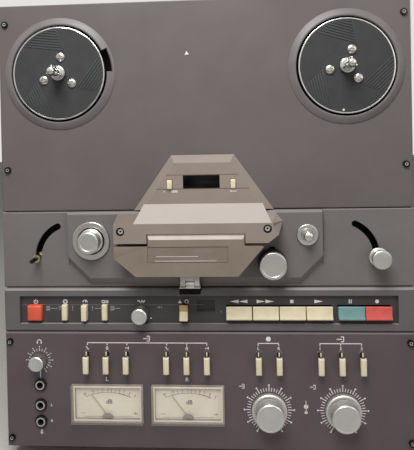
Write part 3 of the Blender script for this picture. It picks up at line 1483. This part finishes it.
@dataclass
class HeadCover:
    """The head cover with the counter, and the lid that folds down."""

    counter_out: float = 8.6
    button_x: Point = (-32.2, 30.0)
    label_z: float = 271.6
    window: Point = (-1.0, 280.9)
    display_out: float = 6.1
    digits: int = 4
    knuckle_z: float = 193.0
    wells: tuple[Point, Point] = ((-77.5, 236.5), (61.3, 238.2))
    tape_z: float = 224.5
    # Heights from which a corner is one of the front bar, and of its face
    bar_out: float = 25.0
    front_out: float = 27.9
    well_radius: float = 4.3
    # Start of the bar's right end, and how far its upper and lower corners are drawn in
    end_x: float = 71.0
    end_back: Point = (8.2, 1.2)
    # Corners of the cheek: X, height and distance over the tape
    cheek_at: tuple[Spot, ...] = ((66.9, 27.9, 16.2), (71.6, 27.9, 8.6), (77.5, 6.4, 16.4), (67.4, 25.6, 9.6),
                                  (72.0, 6.4, 16.4))
    lid_gap: float = 1.7
    tab_slope: float = 3.2
    # Middle of the hinge: X, height and Z
    hinge: Spot = (-12.7, 21.0, 184.8)
    leaf_width: float = 18.1
    leaf_radius: Point = (2.7, 3.1)
    # Label holder: its size, and X, Z and height of its middle
    holder: Spot = (75.2, 14.4, 0.35)
    holder_at: Spot = (-13.9, 214.2, 27.3)

    def build(self) -> list[Piece]:
        """Builds the cover and its lid.

        Returns:
            The pieces.
        """
        lid = make_piece("head_lid_shell", cad_copy("head_lid", None, 0.3, trim=self.trim_lid), LID_ENAMEL,
                         "head_lid", ("head_lid",))
        cover = make_piece("head_cover_shell", cad_copy("head_cover", None, 0.35, trim=self.trim_cover), COVER_ENAMEL,
                           "deck", ("head_cover",))
        # The low left end beside the roof has kept its dull paint, and the screws' wells are black inside
        refinish(cover, COVER_ENDS, lambda spot, way: way.z > 0.85 and spot.x < 0)
        refinish(cover, COVER_ROOF, lambda spot, way: 0.6 < way.z < 0.85 and abs(spot.x) < 60 and spot.z < 262)
        refinish(cover, BLACK_ABS, lambda spot, way: FACE_Y - spot.y < self.front_out and min(
            math.dist((spot.x, spot.z), well) for well in self.wells) < self.well_radius)
        # Fingers have worn the slope of the tab pale
        refinish(lid, COVER_WORN, lambda spot, way: spot.z > self.tape_z + 4 and way.z > 0.25)
        refinish(lid, SATIN_NICKEL, lambda spot, way: spot.z < self.knuckle_z)
        return [cover, self.cheek(), self.leaf(), lid,
                make_piece("counter_window", cad_copy("clear_windows", lambda low, high: low.z > 200, 0.2), SMOKED,
                           "deck", ("clear_windows",)),
                *self.buttons(), self.display_digits(), *self.label_strip(), self.marks()]

    def trim_cover(self, x: float, out: float, z: float) -> Spot:
        """Draws the front of the bar's right end to its blunt point.

        Args:
            x: X of a corner.
            out: Its height over the reel panel.
            z: Its Z.

        Returns:
            Its new X, height and Z.
        """
        if out < self.bar_out or x < self.end_x:
            return x, out, z
        upper, lower = self.end_back
        return (x - upper, out, z) if z > self.tape_z + 12 else (x - lower, out, z + lower)

    def cheek(self) -> Piece:
        """Builds the slanted cheek that closes the bar's right end.

        Returns:
            The piece.
        """
        cheek = bmesh.new()
        for x, out, over in self.cheek_at:
            cheek.verts.new((x, FACE_Y - out, self.tape_z + over))
        bmesh.ops.convex_hull(cheek, input=cheek.verts)
        return make_piece("head_cover_cheek", cheek, COVER_ENAMEL, "deck")

    def trim_lid(self, x: float, out: float, z: float) -> Spot:
        """Opens the shadow gap over the lid and lengthens the slope of its tab.

        Args:
            x: X of a corner.
            out: Its height over the reel panel.
            z: Its Z.

        Returns:
            Its new X, height and Z.
        """
        over = z - self.tape_z
        if out > self.bar_out and -2.2 < over < 0:
            return x, out, z - self.lid_gap
        return (x, out, z - self.tab_slope) if out > self.front_out and over > 7 else (x, out, z)

    def leaf(self) -> Piece:
        """Builds the lid's hinge leaf, curled over the knuckles.

        Returns:
            The piece.
        """
        (x, out, z), width, (inner, outer) = self.hinge, self.leaf_width, self.leaf_radius
        leaf = lathe([(inner, 0), (outer, 0), (outer, width), (inner, width), (inner, 0)], 10, 141, 78)
        moved(leaf, Matrix.Translation((x - width / 2, FACE_Y - out, z)) @ Matrix.Rotation(math.pi / 2, 4, "Y"))
        add_block(leaf, (width, 5.6, 4.6), on_face(x, z + 5.9, out), 0.4)
        return make_piece("lid_hinge_leaf", leaf, SATIN_NICKEL, "head_lid")

    def buttons(self) -> list[Piece]:
        """Builds the two small buttons beside the counter."""
        return [make_piece(f"{node}_cap", cad_copy(node, None, 0.3), CREAM_ABS, node, (node,))
                for node in ("zero_button", "reset_button")]

    def display_digits(self) -> Piece:
        """Builds the unlit segments of the counter's figures.

        Returns:
            The piece.
        """
        marks = ScreenPrint(self.display_out, 0.06)
        x0, z = self.window
        for i in range(self.digits):
            x = x0 + (i - (self.digits - 1) / 2) * 7.4
            for zs in (-3.6, 0.0, 3.6):
                marks.line((x - 1.4, z + zs), (x + 1.4, z + zs), 0.6)
            for xs in (-1.9, 1.9):
                for zs in (-1.8, 1.8):
                    marks.line((x + xs, z + zs - 1.2), (x + xs, z + zs + 1.2), 0.6)
        return marks.piece("counter_segments", SEGMENT_GLASS, "deck")

    def label_strip(self) -> list[Piece]:
        """Builds the tinted holder in the lid's shallow recess, with its two polished ribs.

        Returns:
            The pieces.
        """
        strip, ribs = bmesh.new(), bmesh.new()
        add_block(strip, self.holder, on_face(*self.holder_at), 0.15)
        for width, x, z in ((40.0, -24.0, 212.6), (58.0, -16.0, 208.4)):
            add_block(ribs, (width, 0.7, 0.3), on_face(x, z, 27.6), 0.12)
        return [make_piece("lid_label_strip", strip, LABEL_ACRYLIC, "head_lid"),
                make_piece("lid_label_ribs", ribs, LABEL_EDGE, "head_lid")]

    def marks(self) -> Piece:
        """Prints the signs under the two buttons.

        Returns:
            The piece.
        """
        ink = ScreenPrint(self.counter_out)
        left, right = self.button_x
        ink.symbol(Symbol.RETURN, left - 4.6, self.label_z, 1.3, 0.6)
        ink.words(left + 4.6, self.label_z, "0000", 2.3)
        ink.words(right, self.label_z, "0000", 2.3)
        return ink.piece("counter_print", WHITE_INK, "deck")


@dataclass
class StripControls:
    """Keys, knob and lever of the control strip."""

    floor_out: float = 0.6
    label_z: float = 160.8
    key_z: float = 150.5
    pitch_x: float = -64.0
    cue_x: float = -21.0
    small_x: tuple[float, ...] = (-141.9, -121.5, -101.2)
    power_x: float = -172.2
    # Left, right, lower and upper edge of the blank place
    blank: tuple[float, float, float, float] = (-8.6, 9.8, 150.5, 162.5)
    lens: Point = (15.6, 150.5)
    transport_x: tuple[float, ...] = (33.4, 59.5, 85.5, 111.6, 142.2, 168.0)
    # A corner higher than this over the keys' middle is one of a key's top; the trimmed front is this far out
    key_top: float = 5.0
    key_out: float = 6.9
    line_z: float = 157.6
    line_ends: Point = (-186.0, -1.0)
    cue_room: float = 6.0
    dash_z: float = 154.0

    def build(self) -> list[Piece]:
        """Builds the strip's controls and gives their pieces."""
        return [*self.keys(), *self.pitch_knob(), *self.blank_place(), self.labels(), self.fine_lines(),
                self.small_figures()]

    def keys(self) -> list[Piece]:
        """Builds the keys and the lever.

        Returns:
            The pieces.
        """
        finishes = {"power_button": (RED_ABS, "red_plastic"), "record_key": (RECORD_ABS, "red_plastic"),
                    "pause_key": (TEAL_ABS, "teal_plastic")}
        transport = ("rewind_key", "forward_key", "stop_key", "play_key", "pause_key", "record_key")
        nodes = ("power_button", "reel_size_key", "speed_key", "edit_key", "cue_lever", *transport)
        pieces = []
        for node in nodes:
            finish, slot = finishes.get(node, (CREAM_ABS, "key_cream"))
            soft = 0.6 if node == "power_button" else 0.35
            trim = self.trim_key if node in transport else None
            pieces.append(make_piece(f"{node}_cap", cad_copy(node, None, soft, trim=trim), finish, node, (node,)))
        # The upper half of the cue lever is tan from use
        refinish(pieces[nodes.index("cue_lever")], TAN_ABS, lambda spot, way: spot.z > self.key_z + 2.6)
        return pieces

    def trim_key(self, x: float, out: float, z: float) -> Spot:
        """Flattens the front of a transport key over its lip and lets its top fall to the back.

        Args:
            x: X of a corner.
            out: Its height over the reel panel.
            z: Its Z.

        Returns:
            Its new X, height and Z.
        """
        # The top goes down at the back and a little up at the front, and the lip's inner edge comes out to the front
        if z > self.key_z + self.key_top:
            return (x, out, z - 3.5) if out < 6 else (x, min(out, self.key_out), z + 0.8)
        return (x, self.key_out, z - 0.4) if 6.3 < out < 6.5 else (x, out, z)

    def blank_place(self) -> list[Piece]:
        """Builds the blank insert in the strip and the frosted lens of the indicator beside it.

        Returns:
            The pieces.
        """
        x0, x1, z0, z1 = self.blank
        plate = bmesh.new()
        add_block(plate, (x1 - x0 - 0.8, z1 - z0 - 0.8, 0.2), on_face((x0 + x1) / 2, (z0 + z1) / 2, 0.02), 0.08)
        add_block(plate, (x1 - x0 - 1.2, 1.3, 0.6), on_face((x0 + x1) / 2, z0 + 1.1, 0.3), 0.2)
        lens = lathe([(0, 1.2), (0.6, 1.1), (1.05, 0.7), (1.2, 0.2), (1.2, -0.6), (0, -0.6)], 24)
        moved(lens, on_face(*self.lens))
        return [make_piece("strip_blank_insert", plate, BLACK_ABS, "deck"),
                make_piece("strip_indicator_lens", lens, LENS_ABS, "deck")]

    def pitch_knob(self) -> list[Piece]:
        """Builds the pitch knob on its shaft, with its index line.

        Returns:
            The pieces.
        """
        knob = knurled_knob(8.0, 7.7, 5.0, 15.7, 44)
        join(knob, lathe([(0, -13), (3, -13), (3, 1.9), (5.6, 2.0), (5.6, 5.1), (0, 5.1)], 40))
        moved(knob, on_face(self.pitch_x, self.key_z))
        alloy = TurnedAluminium("turned_aluminium_pitch_knob", "#d3d3d0", 0.34, x=self.pitch_x, z=self.key_z)
        index = ScreenPrint(15.5)
        index.line((self.pitch_x, self.key_z + 5.2), (self.pitch_x, self.key_z + 6.2), 0.4)
        return [make_piece("pitch_knob_turned", knob, alloy, "pitch_knob", ("pitch_knob",)),
                index.piece("pitch_knob_index", GREY_INK, "pitch_knob")]

    def labels(self) -> Piece:
        """Prints the signs above the controls.

        Returns:
            The piece.
        """
        ink = ScreenPrint(self.floor_out)
        z = self.label_z
        for kind, x in ((Symbol.POWER, self.power_x), (Symbol.REEL, self.small_x[0]), (Symbol.SPEED, self.small_x[1]),
                        (Symbol.SPLICE, self.small_x[2]), (Symbol.PITCH, self.pitch_x),
                        (Symbol.CUE, self.cue_x - 4.4)):
            ink.symbol(kind, x, z, 2.2, 0.85)
        ink.symbol(Symbol.HEAD, self.cue_x + 2.4, z, 2.0, 0.85)
        transport = (Symbol.REWIND, Symbol.FORWARD, Symbol.STOP, Symbol.PLAY, Symbol.PAUSE, Symbol.RECORD)
        for kind, x in zip(transport, self.transport_x):
            ink.symbol(kind, x, z, 1.9, 0.7)
        ink.disc(self.pitch_x + 9.3, self.key_z - 6.3, 0.7, 12)
        return ink.piece("strip_labels", WHITE_INK, "deck")

    def fine_lines(self) -> Piece:
        """Prints the fine grey line behind the keys, with room for the lever's travel.

        Returns:
            The piece.
        """
        ink = ScreenPrint(self.floor_out)
        left, right = self.line_ends
        for start, end in ((left, self.cue_x - self.cue_room), (self.cue_x + self.cue_room, right)):
            ink.line((start, self.line_z), (end, self.line_z), 0.3)
        return ink.piece("strip_fine_line", GREY_INK, "deck")

    def small_figures(self) -> Piece:
        """Prints the small figures beside the keys.

        Returns:
            The piece.
        """
        ink = ScreenPrint(self.floor_out)
        for x, upper, lower in ((self.power_x + 12.6, "ON", "OFF"), (self.small_x[0] - 5.8, "10", "7"),
                                (self.small_x[0] + 7.4, "2", "1"), (self.small_x[1] + 7.4, "2", "1"),
                                (self.small_x[2] + 7.6, "ON", "OFF")):
            ink.words(x, 155.2, upper, 1.8)
            ink.words(x, 152.6, lower, 1.8)
        first, second, third = self.small_x
        for start, end in ((self.power_x + 15.6, first - 8.0), (second + 10.0, third - 4.4),
                           (third + 10.6, third + 15.4)):
            ink.line((start, self.dash_z), (end, self.dash_z), 0.4)
        ink.words(self.pitch_x + 18.0, 155.0, "- 0 +", 2.0)
        return ink.piece("strip_small_figures", PALE_INK, "deck")


@dataclass(frozen=True)
class Dial:
    """A printed dial round a knob, as far to the left of its top as to the right.

    Attributes:
        marks: Number of marks.
        every: Which marks are long and have a dot: every so many.
        inner: Radius where the marks begin.
        outer: Radius where a short and a long mark end.
        width: Width of a short and a long mark.
        dot_at: Radius of the ring of dots.
        dot: Radius of a dot.
        dot_corners: Corners of a dot.
        sweep: Angle from the top to the last mark.
    """

    marks: int
    every: int
    inner: float
    outer: Point
    width: Point
    dot_at: float
    dot: float
    dot_corners: int
    sweep: float = 150.0

    def print_round(self, ink: ScreenPrint, spot: Point) -> None:
        """Prints the dial.

        Args:
            ink: Print that gets it.
            spot: Axis of the knob.
        """
        middle = Vector(spot)
        for i in range(self.marks):
            turn = math.radians(2 * self.sweep * i / (self.marks - 1) - self.sweep)
            way = Vector((math.sin(turn), math.cos(turn)))
            long = i % self.every == 0
            ink.line(tuple(middle + way * self.inner), tuple(middle + way * self.outer[long]), self.width[long])
            if long:
                ink.disc(spot[0] + self.dot_at * math.sin(turn), spot[1] + self.dot_at * math.cos(turn), self.dot,
                         self.dot_corners)


@dataclass
class AmpControls:
    """Selectors, knobs and print of the amplifier panel."""

    face: float = 4.0
    selector_x: tuple[float, ...] = (-119.0, -99.0, -79.0, -39.0, -19.0, 1.0, 51.5, 71.5, 111.5, 131.5, 151.5)
    level: tuple[Point, Point] = ((61.2, 55.2), (132.7, 55.2))
    phones: Point = (-168.2, 103.0)
    jack_x: float = -167.6
    bracket_z: float = 120.7
    slot_z: float = 111.0
    sign_z: float = 115.6
    group_z: float = 125.0
    # Selector's tongue: its size, and Z and height of its middle
    tongue: Spot = (1.2, 4.6, 1.6)
    tongue_at: Point = (110.9, 8.0)
    # Where a selector lies in the dark of its slot
    shaft_half: float = 1.4
    shaft_top: float = 109.7
    shaft_out: float = 8.9
    level_dial: Dial = Dial(41, 4, 18.2, (21.8, 23.2), (0.6, 0.75), 24.3, 0.85, 12)
    phones_dial: Dial = Dial(21, 2, 9.2, (11.4, 12.2), (0.5, 0.5), 13.4, 0.55, 10)

    def build(self) -> list[Piece]:
        """Builds the amplifier's controls and gives their pieces."""
        return [*self.selectors(), *self.phones_knob(), *self.level_knobs(), self.brackets(), self.scales(),
                self.slot_arches()]

    def slot_arches(self) -> Piece:
        """Prints the small arch round the top of each selector's slot.

        Returns:
            The piece.
        """
        ink = ScreenPrint(self.face)
        for x in self.selector_x:
            ink.arc(x, self.slot_z - 0.4, 2.9, 10, 170, 0.45)
        return ink.piece("selector_arches", GREY_INK, "deck")

    def selectors(self) -> list[Piece]:
        """Builds the eleven selector keys.

        Returns:
            The pieces.
        """
        nodes = [f"{group}_{i}" for group, count in (("left_input_key", 3), ("right_input_key", 3),
                                                     ("record_mode_key", 2), ("output_key", 3))
                 for i in range(1, count + 1)]
        pieces = []
        for node, x in zip(nodes, self.selector_x):
            key = cad_copy(node, None, 0.3)
            add_block(key, self.tongue, on_face(x, *self.tongue_at), 0.2)
            cap = make_piece(f"{node}_cap", key, CREAM_ABS, node, (node,))
            # The shaft under the cap lies in the dark of its slot, only the thin tongue beside it shows
            pieces.append(refinish(cap, BLACK_ABS, lambda spot, way, x=x: abs(spot.x - x) < self.shaft_half
                                   and spot.z < self.shaft_top and FACE_Y - spot.y < self.shaft_out))
        return pieces

    def phones_knob(self) -> list[Piece]:
        """Builds the phones knob with its index line.

        Returns:
            The pieces.
        """
        x, z = self.phones
        a = self.face
        knob = knurled_knob(7.7, 7.4, a + 0.8, a + 10.5, 44)
        join(knob, lathe([(0, -10.5), (3, -10.5), (3, a + 0.9), (0, a + 0.9)], 40))
        moved(knob, on_face(x, z))
        index = ScreenPrint(a + 10.3)
        index.line((x, z + 5.0), (x, z + 6.0), 0.4)
        alloy = TurnedAluminium("turned_aluminium_phones_knob", "#d3d3d0", 0.34, x=x, z=z)
        return [make_piece("phones_knob_turned", knob, alloy, "phones_knob", ("phones_knob",)),
                index.piece("phones_knob_index", GREY_INK, "phones_knob")]

    def level_knobs(self) -> list[Piece]:
        """Builds the two double knobs, cap over ring.

        Returns:
            The pieces.
        """
        a, pieces = self.face, []
        for name, (x, z) in zip(("input", "output"), self.level):
            alloy = TurnedAluminium(f"turned_aluminium_{name}_knob", "#d6d6d3", 0.33, x=x, z=z)
            cap = knurled_knob(14.2, 13.5, a + 5.8, a + 15.9, 72)
            join(cap, lathe([(0, -10.5), (3, -10.5), (3, a + 5.9), (0, a + 5.9)], 40))
            ring = knurled_knob(17.3, 17.1, a + 0.6, a + 5.1, 90)
            join(ring, lathe([(3.05, -0.5), (5, -0.5), (5, a + 0.7), (3.05, a + 0.7), (3.05, -0.5)], 40))
            index = ScreenPrint(a + 15.7)
            index.line((x, z + 10.2), (x, z + 11.6), 0.5)
            dull = TurnedAluminium(f"turned_aluminium_{name}_ring", "#dedcd8", 0.52, x=x, z=z)
            for node, mesh, finish in ((f"{name}_knob_cap", cap, alloy), (f"{name}_knob_ring", ring, dull)):
                pieces.append(make_piece(f"{node}_turned", moved(mesh, on_face(x, z)), finish, node, (node,)))
            pieces.append(index.piece(f"{name}_knob_index", GREY_INK, f"{name}_knob_cap"))
        return pieces

    def brackets(self) -> Piece:
        """Prints the brackets over the selectors and the signs of each group.

        Returns:
            The piece.
        """
        ink = ScreenPrint(self.face)
        xs, z = self.selector_x, self.bracket_z
        for group in (xs[:6], xs[6:8], xs[8:]):
            ink.line((group[0] - 0.4, z), (group[-1] + 0.4, z), 0.8)
            for x in group:
                ink.line((x, z), (x, z - 2.4), 0.8)
        signs = (Symbol.PAD, Symbol.MICROPHONE, Symbol.PLUG)
        for x, kind in zip(xs[:6], signs * 2):
            ink.symbol(kind, x, self.sign_z, 1.7, 0.7)
        for x, text in zip(xs[6:], ("L", "R", "1", "2", "3")):
            ink.words(x, self.sign_z, text, 2.8)
        for x, kind in ((-59.0, Symbol.ARROW_IN), (61.5, Symbol.RECORD), (131.5, Symbol.ARROW_OUT)):
            ink.symbol(kind, x, self.group_z, 2.4, 0.9)
        for x, text in ((-99.8, "L"), (-19.4, "R")):
            ink.words(x, 84.2, text, 4.0)
        return ink.piece("amp_labels", WHITE_INK, "deck")

    def scales(self) -> Piece:
        """Prints the dials round the knobs and the signs beside the jacks.

        Returns:
            The piece.
        """
        ink = ScreenPrint(self.face)
        for spot in self.level:
            self.level_dial.print_round(ink, spot)
        self.phones_dial.print_round(ink, self.phones)
        ink.symbol(Symbol.PHONES, self.phones[0], 121.6, 2.2, 0.7)
        ink.line((self.jack_x, 92.0), (self.jack_x, 83.4), 0.8)
        for z, text in ((57.6, "L"), (41.4, "R")):
            ink.words(self.jack_x + 10.6, z, text, 2.4)
        ink.symbol(Symbol.MICROPHONE, self.jack_x, 30.4, 2.0, 0.6)
        ink.symbol(Symbol.ARROW_IN, 34.6, 78.3, 1.9, 0.7)
        ink.symbol(Symbol.ARROW_OUT, 104.0, 78.0, 1.9, 0.7)
        ink.symbol(Symbol.BALANCE, 97.0, 58.0, 6.4, 0.9)
        return ink.piece("amp_scales", WHITE_INK, "deck")


@dataclass
class LevelMeter:
    """A level meter with its card, needle and clear cover."""

    side: Side
    left_x: float = -99.6
    right_x: float = -18.8
    z: float = 60.0
    # Height and half sizes of the card
    card_out: float = 2.02
    half_width: float = 32.7
    half_height: float = 15.8
    # Centre, radius and half angle of the scale
    arc_z: float = 11.6
    arc_radius: float = 58.3
    sweep: float = 26.5
    pivot_z: float = 47.0
    pivot_out: float = 4.56
    # Half sizes of the clear part of the lens
    frame_x: float = 34.2
    frame_z: float = 17.3

    @property
    def x(self) -> float:
        """X of this meter."""
        return self.left_x if self.side is Side.LEFT else self.right_x

    def own(self, low: Vector, high: Vector) -> bool:
        """Tells whether the shell between two corners is this meter's body or lens."""
        return abs((low.x + high.x) / 2 - self.x) < 5 and high.z < 90 and high.x - low.x >= 20

    def build(self) -> list[Piece]:
        """Builds the meter.

        Returns:
            Its pieces.
        """
        word = self.side.word
        needle = f"{word}_needle"
        card = bmesh.new()
        add_block(card, (2 * self.half_width, 2 * self.half_height, 0.12),
                  on_face(self.x, self.z, self.card_out + 0.06), 0.03)
        surround = bmesh.new()
        for shift in (-1, 1):
            add_block(surround, (2 * self.half_width + 3.2, 1.4, 0.1),
                      on_face(self.x, self.z + shift * (self.half_height + 0.9), 5.06))
            add_block(surround, (1.4, 2 * self.half_height + 0.4, 0.1),
                      on_face(self.x + shift * (self.half_width + 0.9), self.z, 5.06))
        return [make_piece(f"{word}_dial_surround", surround, DIAL_CARD, "deck"),
                make_piece(f"{word}_meter_bezel", cad_copy("meter_bodies", self.own, 0.25), BEZEL_ABS, "deck",
                           ("meter_bodies",)),
                self.pivot_cover(),
                make_piece(f"{word}_dial_card", card, DIAL_CARD, "deck"),
                make_piece(f"{word}_needle_wire", cad_copy(needle), NEEDLE_PAINT, needle, (needle,)),
                self.lens(), *self.scale()]

    def pivot_cover(self) -> Piece:
        """Builds the half-round cover over the needle's pivot.

        Returns:
            The piece.
        """
        cover = lathe([(0, 0.9), (5.0, 0.9), (5.9, 0.6), (6.2, 0.1), (6.2, 0.0), (0, 0.0)], 48)
        cut = bmesh.ops.bisect_plane(cover, geom=[*cover.verts, *cover.edges, *cover.faces], plane_co=(0, 1.7, 0),
                                     plane_no=(0, -1, 0), clear_outer=True)["geom_cut"]
        bmesh.ops.holes_fill(cover, edges=[e for e in cut if isinstance(e, BMEdge)])
        moved(cover, on_face(self.x, self.pivot_z - 2.5, self.pivot_out))
        return make_piece(f"{self.side.word}_pivot_cover", cover, PIVOT_ABS, "deck", ("meter_bodies",))

    def lens(self) -> Piece:
        """Builds the clear cover with its tinted rim.

        Returns:
            The piece.
        """
        word = self.side.word
        mesh = cad_copy("clear_windows", self.own, 0.2)
        front = max(mesh.faces, key=lambda face: (-round(face.calc_center_median().y, 1), face.calc_area()))
        bmesh.ops.inset_region(mesh, faces=[front], thickness=1.4, depth=0.0, use_even_offset=True)
        piece = make_piece(f"{word}_meter_lens", mesh, CLEAR, "deck", ("clear_windows",))
        # The rim is what lies at the front, outside of the clear part
        return refinish(piece, LENS_EDGE, lambda spot, way: FACE_Y - spot.y > 9.4 and (
            abs(spot.x - self.x) > self.frame_x or abs(spot.z - self.z) > self.frame_z))

    def at(self, db: float) -> float:
        """Gives the angle from X in degrees of a level in decibels; the scale is even in volts."""
        share = 10 ** ((db - 3) / 20)
        return 90 + self.sweep - 2 * self.sweep * share

    def scale(self) -> list[Piece]:
        """Prints the scale, its figures and the overload zone.

        Returns:
            The pieces.
        """
        word, top = self.side.word, self.card_out + 0.12
        green, black, red = (ScreenPrint(top, 0.03) for _ in range(3))
        for db in (-20, -10, -7, -5, -3, -2, -1, 0, 1, 2, 3):
            way = heading(self.at(db))
            middle = Vector((self.x, self.arc_z))
            ink = red if db > 0 else black
            ink.line(tuple(middle + way * self.arc_radius), tuple(middle + way * (self.arc_radius + 1.6)), 0.35)
            figure = middle + way * (self.arc_radius + 2.9)
            (red if db > 0 else green).words(figure.x, figure.y, str(abs(db)), 2.3, self.at(db) - 90)
        black.arc(self.x, self.arc_z, self.arc_radius, self.at(0), self.at(-20), 0.35)
        red.arc(self.x, self.arc_z, self.arc_radius - 0.2, self.at(2.5), self.at(0), 0.8)
        black.words(self.x + 1.0, 60.4, "dB", 4.4)
        black.line((self.x - 25, 45.4), (self.x + 25, 45.4), 0.3)
        black.line((self.x - 27.8, 48.7), (self.x - 23.4, 48.7), 0.4)
        black.line((self.x + 25.4, 48.7), (self.x + 29.8, 48.7), 0.4)
        black.line((self.x + 27.6, 47.2), (self.x + 27.6, 50.2), 0.4)
        return [green.piece(f"{word}_dial_figures", GREEN_INK, "deck"),
                black.piece(f"{word}_dial_lines", BLACK_INK, "deck"),
                red.piece(f"{word}_dial_overload", RED_INK, "deck")]


@dataclass
class Studio:
    """Floor, light and camera."""

    # Camera: place, turns about its own x, y and z in degrees, focal length, frame height and vertical shift
    eye: Spot = (30.67, -567.07, 326.32)
    tilt: Spot = (0.479, 3.147, -1.153)
    focal_px: float = 470.63
    frame_px: float = 450.0
    shift: float = -0.1911
    # Strength of the surrounding light on the pieces and of the background that is seen
    fill: float = 0.18
    backdrop: float = 0.86
    # Place that the lamps face, in metres
    aim: Spot = (0.0, -0.1, 0.22)

    def build(self) -> None:
        """Sets up the stage."""
        self.camera()
        self.floor()
        self.world()
        self.lamps()
        bpy.context.scene.view_settings.view_transform = "Standard"

    def camera(self) -> None:
        """Places the camera at the photograph's viewpoint."""
        pitch, yaw, roll = (math.radians(a) for a in self.tilt)
        level = Matrix(((1, 0, 0), (0, 0, -1), (0, 1, 0)))
        turn = (Matrix.Rotation(roll, 3, "Z") @ Matrix.Rotation(pitch, 3, "X") @ Matrix.Rotation(yaw, 3, "Y") @ level)
        axes = Matrix((turn[0], -turn[1], -turn[2])).transposed()
        lens = bpy.data.cameras.new("photo_view")
        lens.lens = self.focal_px / self.frame_px * lens.sensor_width
        lens.shift_y = self.shift
        lens.clip_start = 0.01
        viewer = bpy.data.objects.new("photo_view", lens)
        viewer.matrix_world = Matrix.Translation(Vector(self.eye) * MM) @ axes.to_4x4()
        bpy.context.scene.collection.objects.link(viewer)
        bpy.context.scene.camera = viewer

    def floor(self) -> None:
        """Lays the pale floor."""
        sheet = bmesh.new()
        bmesh.ops.create_grid(sheet, x_segments=8, y_segments=8, size=6.0)
        shape = bpy.data.meshes.new("paper_floor")
        sheet.to_mesh(shape)
        sheet.free()
        shape.materials.append(FLOOR_PAPER.material())
        floor = bpy.data.objects.new("paper_floor", shape)
        bpy.context.scene.collection.objects.link(floor)

    def world(self) -> None:
        """Makes the soft surrounding light and the pale background that the camera, metal and glass see."""
        world = bpy.data.worlds.new("studio_room")
        bpy.context.scene.world = world
        world.use_nodes = True
        tree = world.node_tree
        rays = add_node(tree, "LightPath").outputs
        seen = add_node(tree, "Math", {0: rays["Is Camera Ray"], 1: rays["Is Transmission Ray"]}, operation="MAXIMUM")
        either = add_node(tree, "Math", {0: seen.outputs[0], 1: rays["Is Glossy Ray"]}, operation="MAXIMUM")
        level = add_node(tree, "MapRange", {"Value": either.outputs[0], "To Min": self.fill, "To Max": self.backdrop})
        feed(tree, tree.nodes["Background"], {"Color": linear("#f4f2ef"), "Strength": level.outputs[0]})

    def lamps(self) -> None:
        """Hangs a large soft lamp above the front, a little to the left, and a weak one for the right."""
        for name, spot, size, power in (("overhead_softbox", (-0.08, -0.6, 1.0), 0.5, 9.6),
                                        ("right_fill", (1.5, -1.6, 0.9), 1.2, 5.0)):
            lamp = bpy.data.lights.new(name, "AREA")
            lamp.size = size
            lamp.energy = power
            holder = bpy.data.objects.new(name, lamp)
            holder.location = spot
            beam = Vector(self.aim) - Vector(spot)
            holder.rotation_euler = beam.to_track_quat("-Z", "Y").to_euler()
            bpy.context.scene.collection.objects.link(holder)


def main() -> None:
    """Builds the stage and every sub-assembly, and keeps the sizes of the CAD and of the dressed model."""
    logging.basicConfig(level=logging.INFO, format="%(message)s")
    Studio().build()
    assemblies = (Cabinet(), FrontPanels(), ReelStation(Side.LEFT), ReelStation(Side.RIGHT), TapePath(), HeadCover(),
                  StripControls(), AmpControls(), LevelMeter(Side.LEFT), LevelMeter(Side.RIGHT))
    for assembly in assemblies:
        for piece in assembly.build():
            LOG.info("%s: %s rides on %s", type(assembly).__name__, piece.name, piece["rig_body"])


if __name__ == "__main__":
    main()
